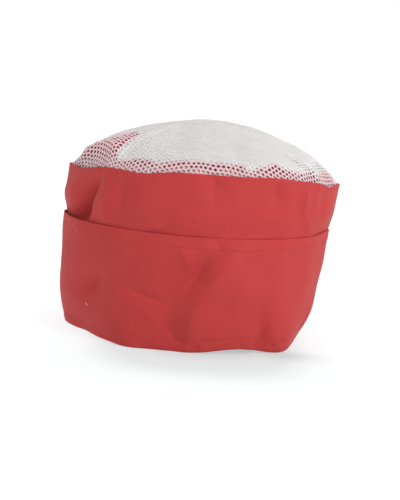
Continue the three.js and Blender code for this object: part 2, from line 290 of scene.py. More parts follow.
@dataclass(frozen=True)
class Form:
    """The cap's shape at rest, from its rim up to the middle of the net."""

    seam: float = 120.5
    cuff_front: float = 79.0
    cuff_side: float = 83.5
    cuff_back: float = 81.0
    dome_rise: float = 42.2
    dome_tilt: float = 13.5  # rise towards the back at the middle of the net, over its whole radius
    band_cloth: float = 1.2
    cuff_cloth: float = 1.5
    net_cloth: float = 1.2
    clearance: float = 0.3
    cuff_blend: float = 16.0  # height over which the band comes out from behind the cuff
    sections: tuple[Section, ...] = (
        Section(0.0, left=99.5, right=83.5, front=90.0, back=88.0),
        Section(20.0, left=104.0, right=90.5, front=91.5, back=90.0),
        Section(45.0, left=104.8, right=95.0, front=93.5, back=93.0),
        Section(80.0, left=104.4, right=99.4, front=96.5, back=96.0),
        Section(100.0, left=104.4, right=102.3, front=98.0, back=97.5),
        Section(120.0, left=101.8, right=104.3, front=99.0, back=98.0),
    )
    corners: tuple[Corner, ...] = (
        Corner(210.0, reach=16.0, fade=22.0, push=-8.0),
        Corner(243.0, reach=8.0, fade=26.0, push=4.5),
        Corner(314.0, reach=10.0, fade=26.0, push=7.0),
        Corner(346.0, reach=14.0, fade=12.0, push=-3.0),
    )
    seam_waves: tuple[Wave, ...] = (
        Wave(62.0, reach=38.0, lift=11.5),
        Wave(124.0, reach=38.0, lift=12.5),
        Wave(185.0, reach=8.0, lift=0.4),
        Wave(214.0, reach=7.0, lift=-2.2),
        Wave(246.0, reach=9.0, lift=-2.2),
        Wave(300.0, reach=10.0, lift=1.0),
        Wave(332.0, reach=7.0, lift=-2.4),
    )
    rim_arches: tuple[Wave, ...] = (Wave(291.0, reach=13.0, lift=3.4),)
    cuff_waves: tuple[Wave, ...] = (Wave(189.0, reach=16.0, lift=2.6), Wave(347.0, reach=17.0, lift=3.0))
    shares: tuple[float, ...] = (0.0, 0.25, 0.45, 0.65, 0.8, 0.9, 0.96, 1.0)
    meridians: tuple[Meridian, ...] = (
        Meridian(0.0, (40.4, 35.2, 27.6, 19.4, 11.8, 5.8, 0.0)),
        Meridian(50.0, (42.2, 37.0, 27.4, 17.6, 10.4, 5.0, 0.0)),
        Meridian(90.0, (42.2, 36.6, 26.4, 16.8, 9.8, 4.4, 0.0)),
        Meridian(140.0, (40.6, 35.2, 26.0, 16.8, 9.8, 4.6, 0.0)),
        Meridian(180.0, (39.2, 34.2, 27.6, 18.4, 10.2, 4.6, 0.0)),
        Meridian(197.0, (38.3, 34.0, 27.4, 18.6, 10.6, 5.2, 0.0)),
        Meridian(206.0, (37.9, 33.9, 27.8, 21.4, 16.4, 11.4, 0.0)),
        Meridian(213.0, (37.5, 33.6, 28.2, 23.0, 19.0, 14.6, 0.0)),
        Meridian(220.0, (37.2, 33.4, 28.6, 24.4, 20.6, 15.6, 0.0)),
        Meridian(227.0, (36.8, 32.6, 27.4, 22.8, 19.0, 14.2, 0.0)),
        Meridian(234.0, (36.3, 30.6, 23.6, 16.6, 10.8, 6.4, 0.0)),
        Meridian(250.0, (35.8, 28.8, 20.8, 14.6, 10.8, 7.6, 0.0)),
        Meridian(285.0, (35.8, 28.6, 20.6, 14.5, 10.8, 7.7, 0.0)),
        Meridian(325.0, (37.6, 31.6, 24.0, 17.4, 12.0, 7.4, 0.0)),
    )
    band_folds: tuple[Fold | Ripples, ...] = (
        Fold(215.0, 92.0, tilt=38.0, across=8.0, along=21.0, depth=-7.0),
        Fold(315.0, 101.0, tilt=0.0, across=8.0, along=13.0, depth=-2.4),
        Fold(316.0, 104.0, tilt=-7.0, across=5.0, along=12.0, depth=1.6),
        Fold(301.0, 110.0, tilt=10.0, across=6.0, along=9.0, depth=-2.0),
        Fold(277.0, 110.0, tilt=-10.0, across=7.0, along=9.0, depth=-1.8),
        Fold(217.4, 98.0, tilt=42.0, across=4.0, along=16.0, depth=-9.0, lean=0.5, profile=CREASED),
        Fold(233.0, 85.2, tilt=90.0, across=2.4, along=8.0, depth=1.1),
        Fold(252.5, 83.6, tilt=90.0, across=2.2, along=4.5, depth=0.9),
        Fold(206.0, 86.0, tilt=88.0, across=6.0, along=20.0, depth=-2.2),
        Fold(229.5, 101.0, tilt=6.0, across=4.0, along=15.0, depth=2.4, profile=CREASED),
        Fold(238.0, 101.0, tilt=3.0, across=3.5, along=13.0, depth=-1.6),
        Fold(247.0, 102.0, tilt=6.0, across=9.0, along=16.0, depth=1.5),
        Fold(241.0, 88.6, tilt=90.0, across=1.8, along=11.0, depth=-0.6, profile=CREASED),
        Fold(251.0, 92.0, tilt=68.0, across=1.6, along=7.0, depth=-0.5, profile=CREASED),
        Fold(266.8, 89.0, tilt=112.0, across=1.6, along=5.0, depth=-0.7, profile=CREASED),
        Fold(275.0, 111.0, tilt=-3.0, across=3.2, along=10.0, depth=-1.2, profile=CREASED),
        Fold(300.8, 114.0, tilt=0.0, across=3.0, along=7.0, depth=-1.5, profile=CREASED),
        Fold(315.5, 109.0, tilt=-7.0, across=3.0, along=11.0, depth=2.0, profile=CREASED),
        Fold(320.5, 91.0, tilt=-42.0, across=3.0, along=8.0, depth=1.2, profile=CREASED),
        Fold(328.0, 106.0, tilt=0.0, across=5.0, along=13.0, depth=-1.4),
        Ripples(seed=3, length=24.0, depth=0.3),
    )
    cuff_folds: tuple[Fold | Ripples, ...] = (
        Fold(219.0, 34.0, tilt=0.0, across=14.0, along=18.0, depth=-2.5),
        Fold(248.0, 37.0, tilt=106.0, across=7.0, along=22.0, depth=-1.2),
        Fold(265.0, 46.0, tilt=30.0, across=11.0, along=28.0, depth=-3.0),
        Fold(277.0, 46.0, tilt=22.0, across=8.0, along=30.0, depth=1.8),
        Fold(262.0, 14.0, tilt=-20.0, across=9.0, along=14.0, depth=-1.3),
        Fold(222.0, 39.5, tilt=56.0, across=5.5, along=15.0, depth=-4.6, lean=-0.3, profile=CREASED),
        Fold(235.5, 66.0, tilt=-50.0, across=2.2, along=4.0, depth=-1.4, profile=CREASED),
        Fold(209.0, 74.0, tilt=75.0, across=1.6, along=5.0, depth=-0.9, profile=CREASED),
        Fold(263.2, 73.8, tilt=-37.0, across=2.4, along=6.0, depth=-1.1, profile=CREASED),
        Fold(278.3, 75.0, tilt=-37.0, across=2.4, along=6.0, depth=-1.1, profile=CREASED),
        Fold(265.0, 67.0, tilt=-25.0, across=4.0, along=12.0, depth=2.5, profile=CREASED),
        Fold(271.5, 55.0, tilt=32.0, across=4.0, along=12.0, depth=-3.5, profile=CREASED),
        Fold(279.6, 55.0, tilt=34.0, across=10.0, along=24.0, depth=4.0, lean=-0.4, profile=CREASED),
        Fold(269.4, 17.0, tilt=8.0, across=10.0, along=15.0, depth=2.1, lean=-0.4, profile=CREASED),
        Fold(260.0, 14.5, tilt=-48.0, across=4.5, along=13.0, depth=-1.5, profile=CREASED),
        Fold(255.0, 20.0, tilt=-48.0, across=3.5, along=11.0, depth=1.1, profile=CREASED),
        Fold(250.0, 36.4, tilt=110.0, across=2.0, along=15.0, depth=-1.2, profile=CREASED),
        Fold(302.5, 12.0, tilt=0.0, across=5.0, along=13.0, depth=-4.0),
        Fold(301.0, 25.0, tilt=-30.0, across=8.0, along=8.0, depth=-1.1),
        Fold(292.2, 6.5, tilt=0.0, across=1.6, along=2.8, depth=-1.4),
        Fold(301.2, 5.8, tilt=0.0, across=1.3, along=2.8, depth=-1.3),
        Fold(307.8, 5.8, tilt=0.0, across=1.4, along=2.8, depth=-1.4),
        Fold(337.0, 17.0, tilt=20.0, across=5.0, along=12.0, depth=1.5),
        Ripples(seed=9, length=30.0, depth=0.35),
    )

    def _half_width(self, side: str, height: Array) -> Array:
        """Gives the half-width towards one side at these heights.

        Args:
            side: The name of the side in the table of sections.
            height: Heights over the surface.

        Returns:
            The half-width at each height.
        """
        stops = np.array([row.height for row in self.sections])
        values = np.array([getattr(row, side) for row in self.sections])
        return on_curve(stops, values, np.clip(height, stops[0], stops[-1]))

    def outline(self, angle: Array, height: Array) -> Array:
        """Gives the distance of the plain outside from the cap's axis.

        Args:
            angle: Angles round the cap.
            height: Heights over the surface.

        Returns:
            The distance at each place.
        """
        x, y = np.cos(np.radians(angle)), np.sin(np.radians(angle))
        wide = np.where(x > 0, self._half_width("right", height), self._half_width("left", height))
        deep = np.where(y > 0, self._half_width("back", height), self._half_width("front", height))
        radius = 1.0 / np.hypot(x / wide, y / deep)
        for corner in self.corners:
            fade = bell(height / corner.fade)
            radius = radius + corner.push * bell(turned(angle, corner.angle) / corner.reach) * fade
        return radius

    def seam_height(self, angle: Array) -> Array:
        """Gives the height of the seam between band and net."""
        return self.seam + wave(self.seam_waves, angle)

    def rim_height(self, angle: Array) -> Array:
        """Gives the height of the rim, which is on the surface but for its arch."""
        return wave(self.rim_arches, angle)

    def cuff_height(self, angle: Array) -> Array:
        """Gives the height of the cuff's top edge.

        Args:
            angle: Angles round the cap.

        Returns:
            The height at each angle.
        """
        y = np.sin(np.radians(angle))
        facing = np.where(y > 0, self.cuff_back, self.cuff_front)
        return self.cuff_side + (facing - self.cuff_side) * y * y + wave(self.cuff_waves, angle)

    def cuff_radius(self, angle: Array, height: Array) -> Array:
        """Gives the distance of the cuff's outside from the cap's axis."""
        return self.outline(angle, height) + pushed(self.cuff_folds, angle, height)

    def band_radius(self, angle: Array, height: Array) -> Array:
        """Gives the distance of the band's outside, which lies behind the cuff as high as that goes.

        Args:
            angle: Angles round the cap.
            height: Heights over the surface.

        Returns:
            The distance from the cap's axis at each place.
        """
        covered = 1.0 - eased((height - self.cuff_height(angle)) / self.cuff_blend)
        behind = pushed(self.cuff_folds, angle, height) - self.cuff_cloth - self.clearance
        return self.outline(angle, height) + covered * behind + pushed(self.band_folds, angle, height)

    def net_radius(self, angle: Array, height: Array) -> Array:
        """Gives the distance of the net's outside where it is lapped inside the band."""
        return self.band_radius(angle, height) - self.band_cloth - self.clearance

    def dome(self, angle: Array, share: Array) -> Array:
        """Gives the net's height over the seam at a share of the way out from its middle.

        Args:
            angle: Angles round the cap.
            share: Shares of the way out, from 0 to 1.

        Returns:
            The height at each place.
        """
        angle, share = np.broadcast_arrays(np.asarray(angle, float) % FULL_TURN, share)
        slope = self.dome_tilt * np.sin(np.radians(angle))
        stops = np.array(self.shares)
        rise = np.zeros(angle.shape)
        rows = (*self.meridians, Meridian(FULL_TURN, self.meridians[0].rises))
        for low, high in zip(rows, rows[1:]):
            here = (angle >= low.angle) & (angle < high.angle)
            turn = eased((angle[here] - low.angle) / (high.angle - low.angle))
            pair = [
                on_curve(stops, np.array((self.dome_rise, *row.rises)), share[here], slope[here])
                for row in (low, high)
            ]
            rise[here] = pair[0] * (1.0 - turn) + pair[1] * turn
        return rise


def linked(name: str, mesh: bpy.types.Mesh) -> bpy.types.Object:
    """Puts a mesh into the scene as an object at the origin.

    Args:
        name: The object's name.
        mesh: Its mesh.

    Returns:
        The object.
    """
    piece = bpy.data.objects.new(name, mesh)
    bpy.context.scene.collection.objects.link(piece)
    return piece


def smoothed(mesh: bpy.types.Mesh) -> bpy.types.Mesh:
    """Shades all of a mesh smooth.

    Args:
        mesh: The mesh.

    Returns:
        The same mesh.
    """
    mesh.polygons.foreach_set("use_smooth", np.ones(len(mesh.polygons), bool))
    mesh.update()
    return mesh


def vertices_of(mesh: bpy.types.Mesh) -> Array:
    """Reads a mesh's points, in metres.

    Args:
        mesh: The mesh.

    Returns:
        A row for each point, with its three coordinates.
    """
    points = np.zeros(len(mesh.vertices) * 3, np.float32)
    mesh.vertices.foreach_get("co", points)
    return points.reshape(-1, 3).astype(float)


def seated(piece: bpy.types.Object, replaces: str | None = None) -> bpy.types.Object:
    """Hands a finished piece over to the frame and reports it.

    Args:
        piece: The piece, with its place in its mesh.
        replaces: The node that it stands for, if there is one.

    Returns:
        The same piece.
    """
    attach(piece, BODY)
    if replaces:
        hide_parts(replaces)
    triangles = sum(len(face.vertices) - 2 for face in piece.data.polygons)
    LOG.info("%s: %d triangles", piece.name, triangles)
    return piece


def shell(name: str, rings: Sequence[Array], material: bpy.types.Material) -> bpy.types.Object:
    """Makes closed rings of cloth.

    Args:
        name: The piece's name.
        rings: Points in millimetres by row and column, for each ring. The rows run up the outside and
            down the inside, the columns run round the cap, and both close on themselves.
        material: The cloth.

    Returns:
        The rings as one piece, with a UV map in metres along the cloth.
    """
    faces, places, first = [], [], 0
    for ring in rings:
        rows, columns = ring.shape[:2]
        row, column = np.meshgrid(np.arange(rows), np.arange(columns), indexing="ij")
        above, beside = (row + 1) % rows * columns, (column + 1) % columns
        corners = [row * columns + column, row * columns + beside, above + beside, above + column]
        faces.append(np.stack(corners, -1).reshape(-1, 4) + first)
        closed = np.concatenate([ring, ring[:1]])
        steps = np.linalg.norm(np.diff(closed, axis=0), axis=-1).mean(axis=1)
        climb = np.concatenate([[0.0], np.cumsum(steps)])
        across = np.stack([column, column + 1, column + 1, column], -1) * GIRTH_STEP * FULL_TURN / columns
        along = np.stack([climb[row], climb[row], climb[row + 1], climb[row + 1]], -1)
        places.append((np.stack([across, along], -1) * MM).astype(np.float32).ravel())
        first += rows * columns
    points = np.concatenate([ring.reshape(-1, 3) for ring in rings])
    mesh = bpy.data.meshes.new(name)
    mesh.from_pydata((points * MM).tolist(), [], np.concatenate(faces).tolist())
    mesh.uv_layers.new(name=UV_NAME).data.foreach_set("uv", np.concatenate(places))
    mesh.materials.append(material)
    return linked(name, smoothed(mesh))


class Tree:
    """A node tree under construction, with short calls for what is repeated in it."""

    def __init__(self, tree: bpy.types.NodeTree) -> None:
        """Starts on a tree."""
        self.tree = tree

    def node(self, kind: str, **settings: object) -> bpy.types.Node:
        """Adds a node and sets its properties.

        Args:
            kind: The node's type.
            **settings: Its properties by name.

        Returns:
            The node.
        """
        made = self.tree.nodes.new(kind)
        for name, value in settings.items():
            setattr(made, name, value)
        return made

    def feed(self, socket: bpy.types.NodeSocket, value: object) -> None:
        """Links a socket to another one, or sets its value.

        Args:
            socket: The socket that is fed.
            value: A socket or a plain value.
        """
        if isinstance(value, bpy.types.NodeSocket):
            self.tree.links.new(value, socket)
        else:
            socket.default_value = value

    def placed(self, kind: str, inputs: dict[str, object], **settings: object) -> bpy.types.Node:
        """Adds a node, sets its properties and feeds its inputs by name.

        Args:
            kind: The node's type.
            inputs: A socket or a plain value for each input that is fed.
            **settings: Its properties by name.

        Returns:
            The node.
        """
        made = self.node(kind, **settings)
        for name, value in inputs.items():
            self.feed(made.inputs[name], value)
        return made

    def math(self, operation: str, *values: object) -> bpy.types.NodeSocket:
        """Adds a math node on one to three values.

        Args:
            operation: What it does.
            *values: Sockets or numbers, in order.

        Returns:
            The result's socket.
        """
        made = self.node("ShaderNodeMath", operation=operation)
        for socket, value in zip(made.inputs, values):
            self.feed(socket, value)
        return made.outputs[0]

    def span(self, value: object, low: float, high: float) -> bpy.types.NodeSocket:
        """Spreads a value from 0 to 1 over a new range."""
        return self.math("MULTIPLY_ADD", value, high - low, low)

    def realized(self, instances: bpy.types.NodeSocket) -> bpy.types.NodeSocket:
        """Turns instances into real geometry."""
        return self.placed("GeometryNodeRealizeInstances", {"Geometry": instances}).outputs["Geometry"]

    def dressed(self, geometry: object, material: object) -> bpy.types.NodeSocket:
        """Gives geometry its material."""
        inputs = {"Geometry": geometry, "Material": material}
        return self.placed("GeometryNodeSetMaterial", inputs).outputs["Geometry"]

    def length(self, vector: bpy.types.NodeSocket) -> bpy.types.NodeSocket:
        """Measures a vector."""
        return self.placed("ShaderNodeVectorMath", {"Vector": vector}, operation="LENGTH").outputs["Value"]

    def vector_math(self, operation: str, *values: object) -> bpy.types.NodeSocket:
        """Adds a vector math node on two vectors.

        Args:
            operation: What it does.
            *values: Sockets or vectors, in order.

        Returns:
            The result's socket.
        """
        made = self.node("ShaderNodeVectorMath", operation=operation)
        for socket, value in zip(made.inputs, values):
            self.feed(socket, value)
        return made.outputs[0]


def node_group(
    name: str, kind: str, inputs: dict[str, str], outputs: dict[str, str]
) -> tuple[Tree, dict, dict]:
    """Starts a node group.

    Args:
        name: The group's name.
        kind: The type of its tree.
        inputs: The socket type of each input, by name.
        outputs: The socket type of each output, by name.

    Returns:
        The tree, its input values by name and its output sockets by name.
    """
    group = bpy.data.node_groups.new(name, kind)
    for socket, socket_type in inputs.items():
        group.interface.new_socket(socket, in_out="INPUT", socket_type=socket_type)
    for socket, socket_type in outputs.items():
        group.interface.new_socket(socket, in_out="OUTPUT", socket_type=socket_type)
    tree = Tree(group)
    source, sink = tree.node("NodeGroupInput"), tree.node("NodeGroupOutput")
    given = {socket: source.outputs[socket] for socket in inputs}
    wanted = {socket: sink.inputs[socket] for socket in outputs}
    return tree, given, wanted


def weave_group() -> bpy.types.NodeTree:
    """Makes the shader group of a plain weave: the threads' relief and their slight unevenness.

    Returns:
        The group.
    """
    tree, given, wanted = node_group(
        "Plain weave",
        "ShaderNodeTree",
        {"Vector": VECTOR, "Thread": FLOAT},
        {"Height": FLOAT, "Slub": FLOAT},
    )
    place = tree.placed("ShaderNodeSeparateXYZ", {"Vector": given["Vector"]})
    turn = tree.math("DIVIDE", math.pi, given["Thread"])
    warp = tree.math("SINE", tree.math("MULTIPLY", place.outputs["X"], turn))
    weft = tree.math("SINE", tree.math("MULTIPLY", place.outputs["Y"], turn))
    crossing = tree.math("MULTIPLY", warp, weft)
    tree.feed(wanted["Height"], tree.math("MULTIPLY_ADD", crossing, 0.5, 0.5))
    weft_slubs, warp_slubs = (900.0, 70.0, 1.0), (60.0, 800.0, 1.0)  # in each metre across and along
    slubs = []
    for count in (weft_slubs, warp_slubs):
        stretched = tree.vector_math("MULTIPLY", given["Vector"], count)
        noise = tree.placed("ShaderNodeTexNoise", {"Vector": stretched, "Scale": 1.0, "Detail": 1.0})
        slubs.append(noise.outputs["Fac"])
    tree.feed(wanted["Slub"], tree.math("MULTIPLY", tree.math("ADD", *slubs), 0.5))
    return tree.tree


def mottle_group() -> bpy.types.NodeTree:
    """Makes the shader group of soft patches, wide and narrow ones mixed, from 0 to 1.

    Returns:
        The group.
    """
    tree, given, wanted = node_group(
        "Mottle",
        "ShaderNodeTree",
        {"Vector": VECTOR, "Wide": FLOAT, "Narrow": FLOAT},
        {"Patches": FLOAT},
    )
    sizes = []
    for name, share in (("Wide", 0.65), ("Narrow", 0.35)):
        noise = tree.placed(
            "ShaderNodeTexNoise",
            {"Vector": given["Vector"], "Scale": tree.math("DIVIDE", 1.0, given[name]), "Detail": 2.0},
        )
        sizes.append(tree.math("MULTIPLY", noise.outputs["Fac"], share))
    total = tree.math("ADD", *sizes)
    sharper = tree.placed("ShaderNodeMapRange", {"Value": total, "From Min": 0.3, "From Max": 0.7})
    tree.feed(wanted["Patches"], sharper.outputs["Result"])
    return tree.tree


def speck_group() -> bpy.types.NodeTree:
    """Makes the shader group of one small oval mark at a place on the cloth.

    Returns:
        The group.
    """
    tree, given, wanted = node_group(
        "Speck",
        "ShaderNodeTree",
        {"Vector": VECTOR, "Place": VECTOR, "Length": FLOAT, "Width": FLOAT, "Turn": FLOAT},
        {"Mask": FLOAT},
    )
    offset = tree.vector_math("SUBTRACT", given["Vector"], given["Place"])
    level = tree.placed(
        "ShaderNodeVectorRotate",
        {"Vector": offset, "Angle": given["Turn"]},
        rotation_type="Z_AXIS",
    )
    place = tree.placed("ShaderNodeSeparateXYZ", {"Vector": level.outputs["Vector"]})
    along = tree.math("DIVIDE", place.outputs["X"], given["Length"])
    across = tree.math("DIVIDE", place.outputs["Y"], given["Width"])
    distance = tree.math("ADD", *(tree.math("MULTIPLY", part, part) for part in (along, across)))
    tree.feed(wanted["Mask"], tree.math("POWER", math.e, tree.math("MULTIPLY", distance, -1.0)))
    return tree.tree


@dataclass(frozen=True)
class Effects:
    """The shader groups that the materials share, each built once."""

    weave: bpy.types.NodeTree = field(default_factory=weave_group)
    mottle: bpy.types.NodeTree = field(default_factory=mottle_group)
    speck: bpy.types.NodeTree = field(default_factory=speck_group)


@dataclass(frozen=True)
class Speck:
    """A small soft mark: a bit of lint, a dark dot or a patch of painted shade."""

    place: tuple[float, float]  # along the girth and up the cloth, or on the floor, in millimetres
    length: float
    width: float
    strength: float
    turn: float = 0.0
    colour: Colour = (0.0, 0.0, 0.0)

    def mask(
        self, tree: Tree, group: bpy.types.NodeTree, vector: bpy.types.NodeSocket
    ) -> bpy.types.NodeSocket:
        """Places the shader group of one small mark.

        Args:
            tree: The material's tree.
            group: The shader group.
            vector: Where a point is on the cloth or the floor, in metres.

        Returns:
            The mark's mask.
        """
        inputs = {
            "Vector": vector,
            "Place": (self.place[0] * MM, self.place[1] * MM, 0.0),
            "Length": self.length * MM,
            "Width": self.width * MM,
            "Turn": math.radians(self.turn),
        }
        return tree.placed("ShaderNodeGroup", inputs, node_tree=group).outputs["Mask"]


LINT = Speck((354.5, 21.6), length=1.3, width=0.4, strength=0.85, turn=40.0, colour=(0.80, 0.45, 0.42))
DOT = Speck((446.4, 3.4), length=0.8, width=0.8, strength=0.8, colour=(0.16, 0.01, 0.012))


class Finish:
    """What the finishes share: a material with one surface shader."""

    @staticmethod
    def start(name: str) -> tuple[Tree, bpy.types.Node, bpy.types.Material]:
        """Makes a material and hands back its tree and its surface shader.

        Args:
            name: The material's name.

        Returns:
            The material's tree, its surface shader and the material.
        """
        material = bpy.data.materials.new(name)
        material.use_nodes = True
        tree = Tree(material.node_tree)
        return tree, material.node_tree.nodes["Principled BSDF"], material

    @staticmethod
    def between(tree: Tree, share: object, low: object, high: object) -> bpy.types.NodeSocket:
        """Mixes two colours by a share.

        Args:
            tree: The material's tree.
            share: How much of the second colour there is.
            low: The first colour.
            high: The second colour.

        Returns:
            The mixed colour's socket.
        """
        mix = tree.node("ShaderNodeMix", data_type="RGBA")
        for socket, value in (("Factor_Float", share), ("A_Color", low), ("B_Color", high)):
            found = next(one for one in mix.inputs if one.identifier == socket)
            tree.feed(found, (*value, 1.0) if isinstance(value, tuple) else value)
        return next(one for one in mix.outputs if one.identifier == "Result_Color")

    @staticmethod
    def bumped(tree: Tree, shader: bpy.types.Node, height: object, distance: float) -> None:
        """Feeds a relief to the shader's normal."""
        bump = tree.placed("ShaderNodeBump", {"Height": height, "Distance": distance, "Strength": 1.0})
        tree.feed(shader.inputs["Normal"], bump.outputs["Normal"])


@dataclass(frozen=True)
class ClothFinish(Finish):
    """Matt coral cotton blend in a fine plain weave, a little uneven in tone."""

    name: str
    base: Colour = (0.475, 0.032, 0.032)
    deep: Colour = (0.435, 0.025, 0.025)
    pale: Colour = (0.52, 0.042, 0.042)
    pale_share: tuple[float, float] = (-0.2, 0.7)  # from the thinnest to the thickest slub
    sheen: Colour = (1.0, 0.6, 0.6)
    sheen_weight: float = 0.04
    sheen_roughness: float = 0.45
    roughness: tuple[float, float] = (0.72, 0.86)
    specular: float = 0.42
    thread: float = 0.55 * MM
    relief: float = 0.05 * MM
    slub_relief: float = 0.8  # of the threads' relief
    wide_patch: float = 60.0 * MM
    narrow_patch: float = 9.0 * MM
    specks: tuple[Speck, ...] = ()

    def build(self, effects: Effects) -> bpy.types.Material:
        """Builds the cloth's material.

        Args:
            effects: The shared shader groups.

        Returns:
            The material.
        """
        tree, shader, material = self.start(self.name)
        cloth = tree.node("ShaderNodeUVMap", uv_map=UV_NAME).outputs["UV"]
        solid = tree.node("ShaderNodeTexCoord").outputs["Object"]
        inputs = {"Vector": cloth, "Thread": self.thread}
        threads = tree.placed("ShaderNodeGroup", inputs, node_tree=effects.weave)
        slub = threads.outputs["Slub"]
        inputs = {"Vector": solid, "Wide": self.wide_patch, "Narrow": self.narrow_patch}
        patches = tree.placed("ShaderNodeGroup", inputs, node_tree=effects.mottle)
        tone = self.between(tree, patches.outputs["Patches"], self.deep, self.base)
        colour = self.between(tree, tree.span(slub, *self.pale_share), tone, self.pale)
        for speck in self.specks:
            share = tree.math("MULTIPLY", speck.mask(tree, effects.speck, cloth), speck.strength)
            colour = self.between(tree, share, colour, speck.colour)
        tree.feed(shader.inputs["Base Color"], colour)
        tree.feed(shader.inputs["Roughness"], tree.span(slub, *self.roughness))
        shader.inputs["Specular IOR Level"].default_value = self.specular
        shader.inputs["Sheen Weight"].default_value = self.sheen_weight
        shader.inputs["Sheen Roughness"].default_value = self.sheen_roughness
        shader.inputs["Sheen Tint"].default_value = (*self.sheen, 1.0)
        height = tree.math("MULTIPLY_ADD", slub, self.slub_relief, threads.outputs["Height"])
        self.bumped(tree, shader, height, self.relief)
        return material


@dataclass(frozen=True)
class NetFinish(Finish):
    """Matt white knitted thread with a fine fibrous relief, and a painted pink glow where coral cloth lies
    behind it.
    """

    name: str = "White net"
    base: Colour = (0.78, 0.755, 0.745)
    shade: Colour = (0.74, 0.715, 0.705)
    painted_cloth_glow: Colour = (0.84, 0.545, 0.575)  # painted pink glow: light from the coral cloth behind, showing through and bouncing onto the thread
    roughness: tuple[float, float] = (0.7, 0.9)
    specular: float = 0.2
    glow_through: float = 0.7  # share of the light that enters the thread and comes out nearby
    glow_reach: float = 1.6 * MM
    fibre: float = 0.45 * MM
    relief: float = 0.12 * MM
    patch: float = 14.0 * MM

    def build(self, effects: Effects) -> bpy.types.Material:
        """Builds the net's material.

        Args:
            effects: The shared shader groups.

        Returns:
            The material.
        """
        tree, shader, material = self.start(self.name)
        solid = tree.node("ShaderNodeTexCoord").outputs["Object"]
        inputs = {"Vector": solid, "Wide": self.patch, "Narrow": self.fibre * 2}
        patches = tree.placed("ShaderNodeGroup", inputs, node_tree=effects.mottle)
        white = self.between(tree, patches.outputs["Patches"], self.shade, self.base)
        # painted pink glow: where coral cloth lies behind, the thread's white is mixed towards the painted
        # glow colour
        painted_glow_share = tree.node("ShaderNodeAttribute", attribute_name=PAINTED_CLOTH_GLOW).outputs["Fac"]
        tree.feed(shader.inputs["Base Color"], self.between(tree, painted_glow_share, white, self.painted_cloth_glow))
        inputs = {"Vector": solid, "Scale": 1.0 / self.fibre, "Detail": 2.0}
        fibres = tree.placed("ShaderNodeTexNoise", inputs)
        tree.feed(shader.inputs["Roughness"], tree.span(fibres.outputs["Fac"], *self.roughness))
        shader.inputs["Specular IOR Level"].default_value = self.specular
        shader.inputs["Subsurface Weight"].default_value = self.glow_through
        shader.inputs["Subsurface Radius"].default_value = (1.0, 1.0, 1.0)
        shader.inputs["Subsurface Scale"].default_value = self.glow_reach
        self.bumped(tree, shader, fibres.outputs["Fac"], self.relief)
        return material


@dataclass(frozen=True)
class ThreadFinish(Finish):
    """Matt sewing thread of the cloth's own colour, with slanting plies."""

    name: str = "Coral thread"
    base: Colour = (0.475, 0.034, 0.034)
    shade: Colour = (0.42, 0.026, 0.026)
    roughness: float = 0.8
    ply: float = 0.3 * MM
    wave_scale: float = 0.1  # of the texture, for plies of one metre
    relief: float = 0.3  # of a ply

    def build(self) -> bpy.types.Material:
        """Builds the material, with the thread's plies as slanting bands.

        Returns:
            The material.
        """
        tree, shader, material = self.start(self.name)
        solid = tree.node("ShaderNodeTexCoord").outputs["Object"]
        bands = tree.placed(
            "ShaderNodeTexWave",
            {"Vector": solid, "Scale": self.wave_scale / self.ply, "Distortion": 1.0},
            bands_direction="DIAGONAL",
        )
        band = bands.outputs["Fac"]
        tree.feed(shader.inputs["Base Color"], self.between(tree, band, self.shade, self.base))
        shader.inputs["Roughness"].default_value = self.roughness
        self.bumped(tree, shader, band, self.ply * self.relief)
        return material


def arc(steps: int) -> Array:
    """Gives the turns between the steps of half a circle, in radians, as a column."""
    return np.linspace(0.0, math.pi, steps + 1)[1:-1, None]


def rows_between(low: Array, high: Array, count: int) -> Array:
    """Gives rows of heights that rise evenly from one to the other."""
    return low + (high - low) * np.linspace(0.0, 1.0, count)[:, None]


@dataclass(frozen=True)
class SewnLine:
    """A line of stitches at a distance from an edge, which draws the cloth in a little."""

    inset: float
    sink: float = 0.35
    width: float = 1.1
    pucker: Ripples = Ripples(seed=5, length=7.0, depth=0.16)
    pucker_middle: float = 0.6  # of the inset
    pucker_reach: float = 0.8  # of the inset

    def push(self, angle: Array, from_edge: Array) -> Array:
        """Gives how far the line and its puckers push the cloth out.

        Args:
            angle: Angles round the cap.
            from_edge: Distances from the edge that the line follows.

        Returns:
            The push at each place, in millimetres.
        """
        groove = -self.sink * bell((from_edge - self.inset) / self.width)
        nearby = bell((from_edge - self.inset * self.pucker_middle) / (self.inset * self.pucker_reach))
        return groove + self.pucker.push(angle, from_edge) * nearby


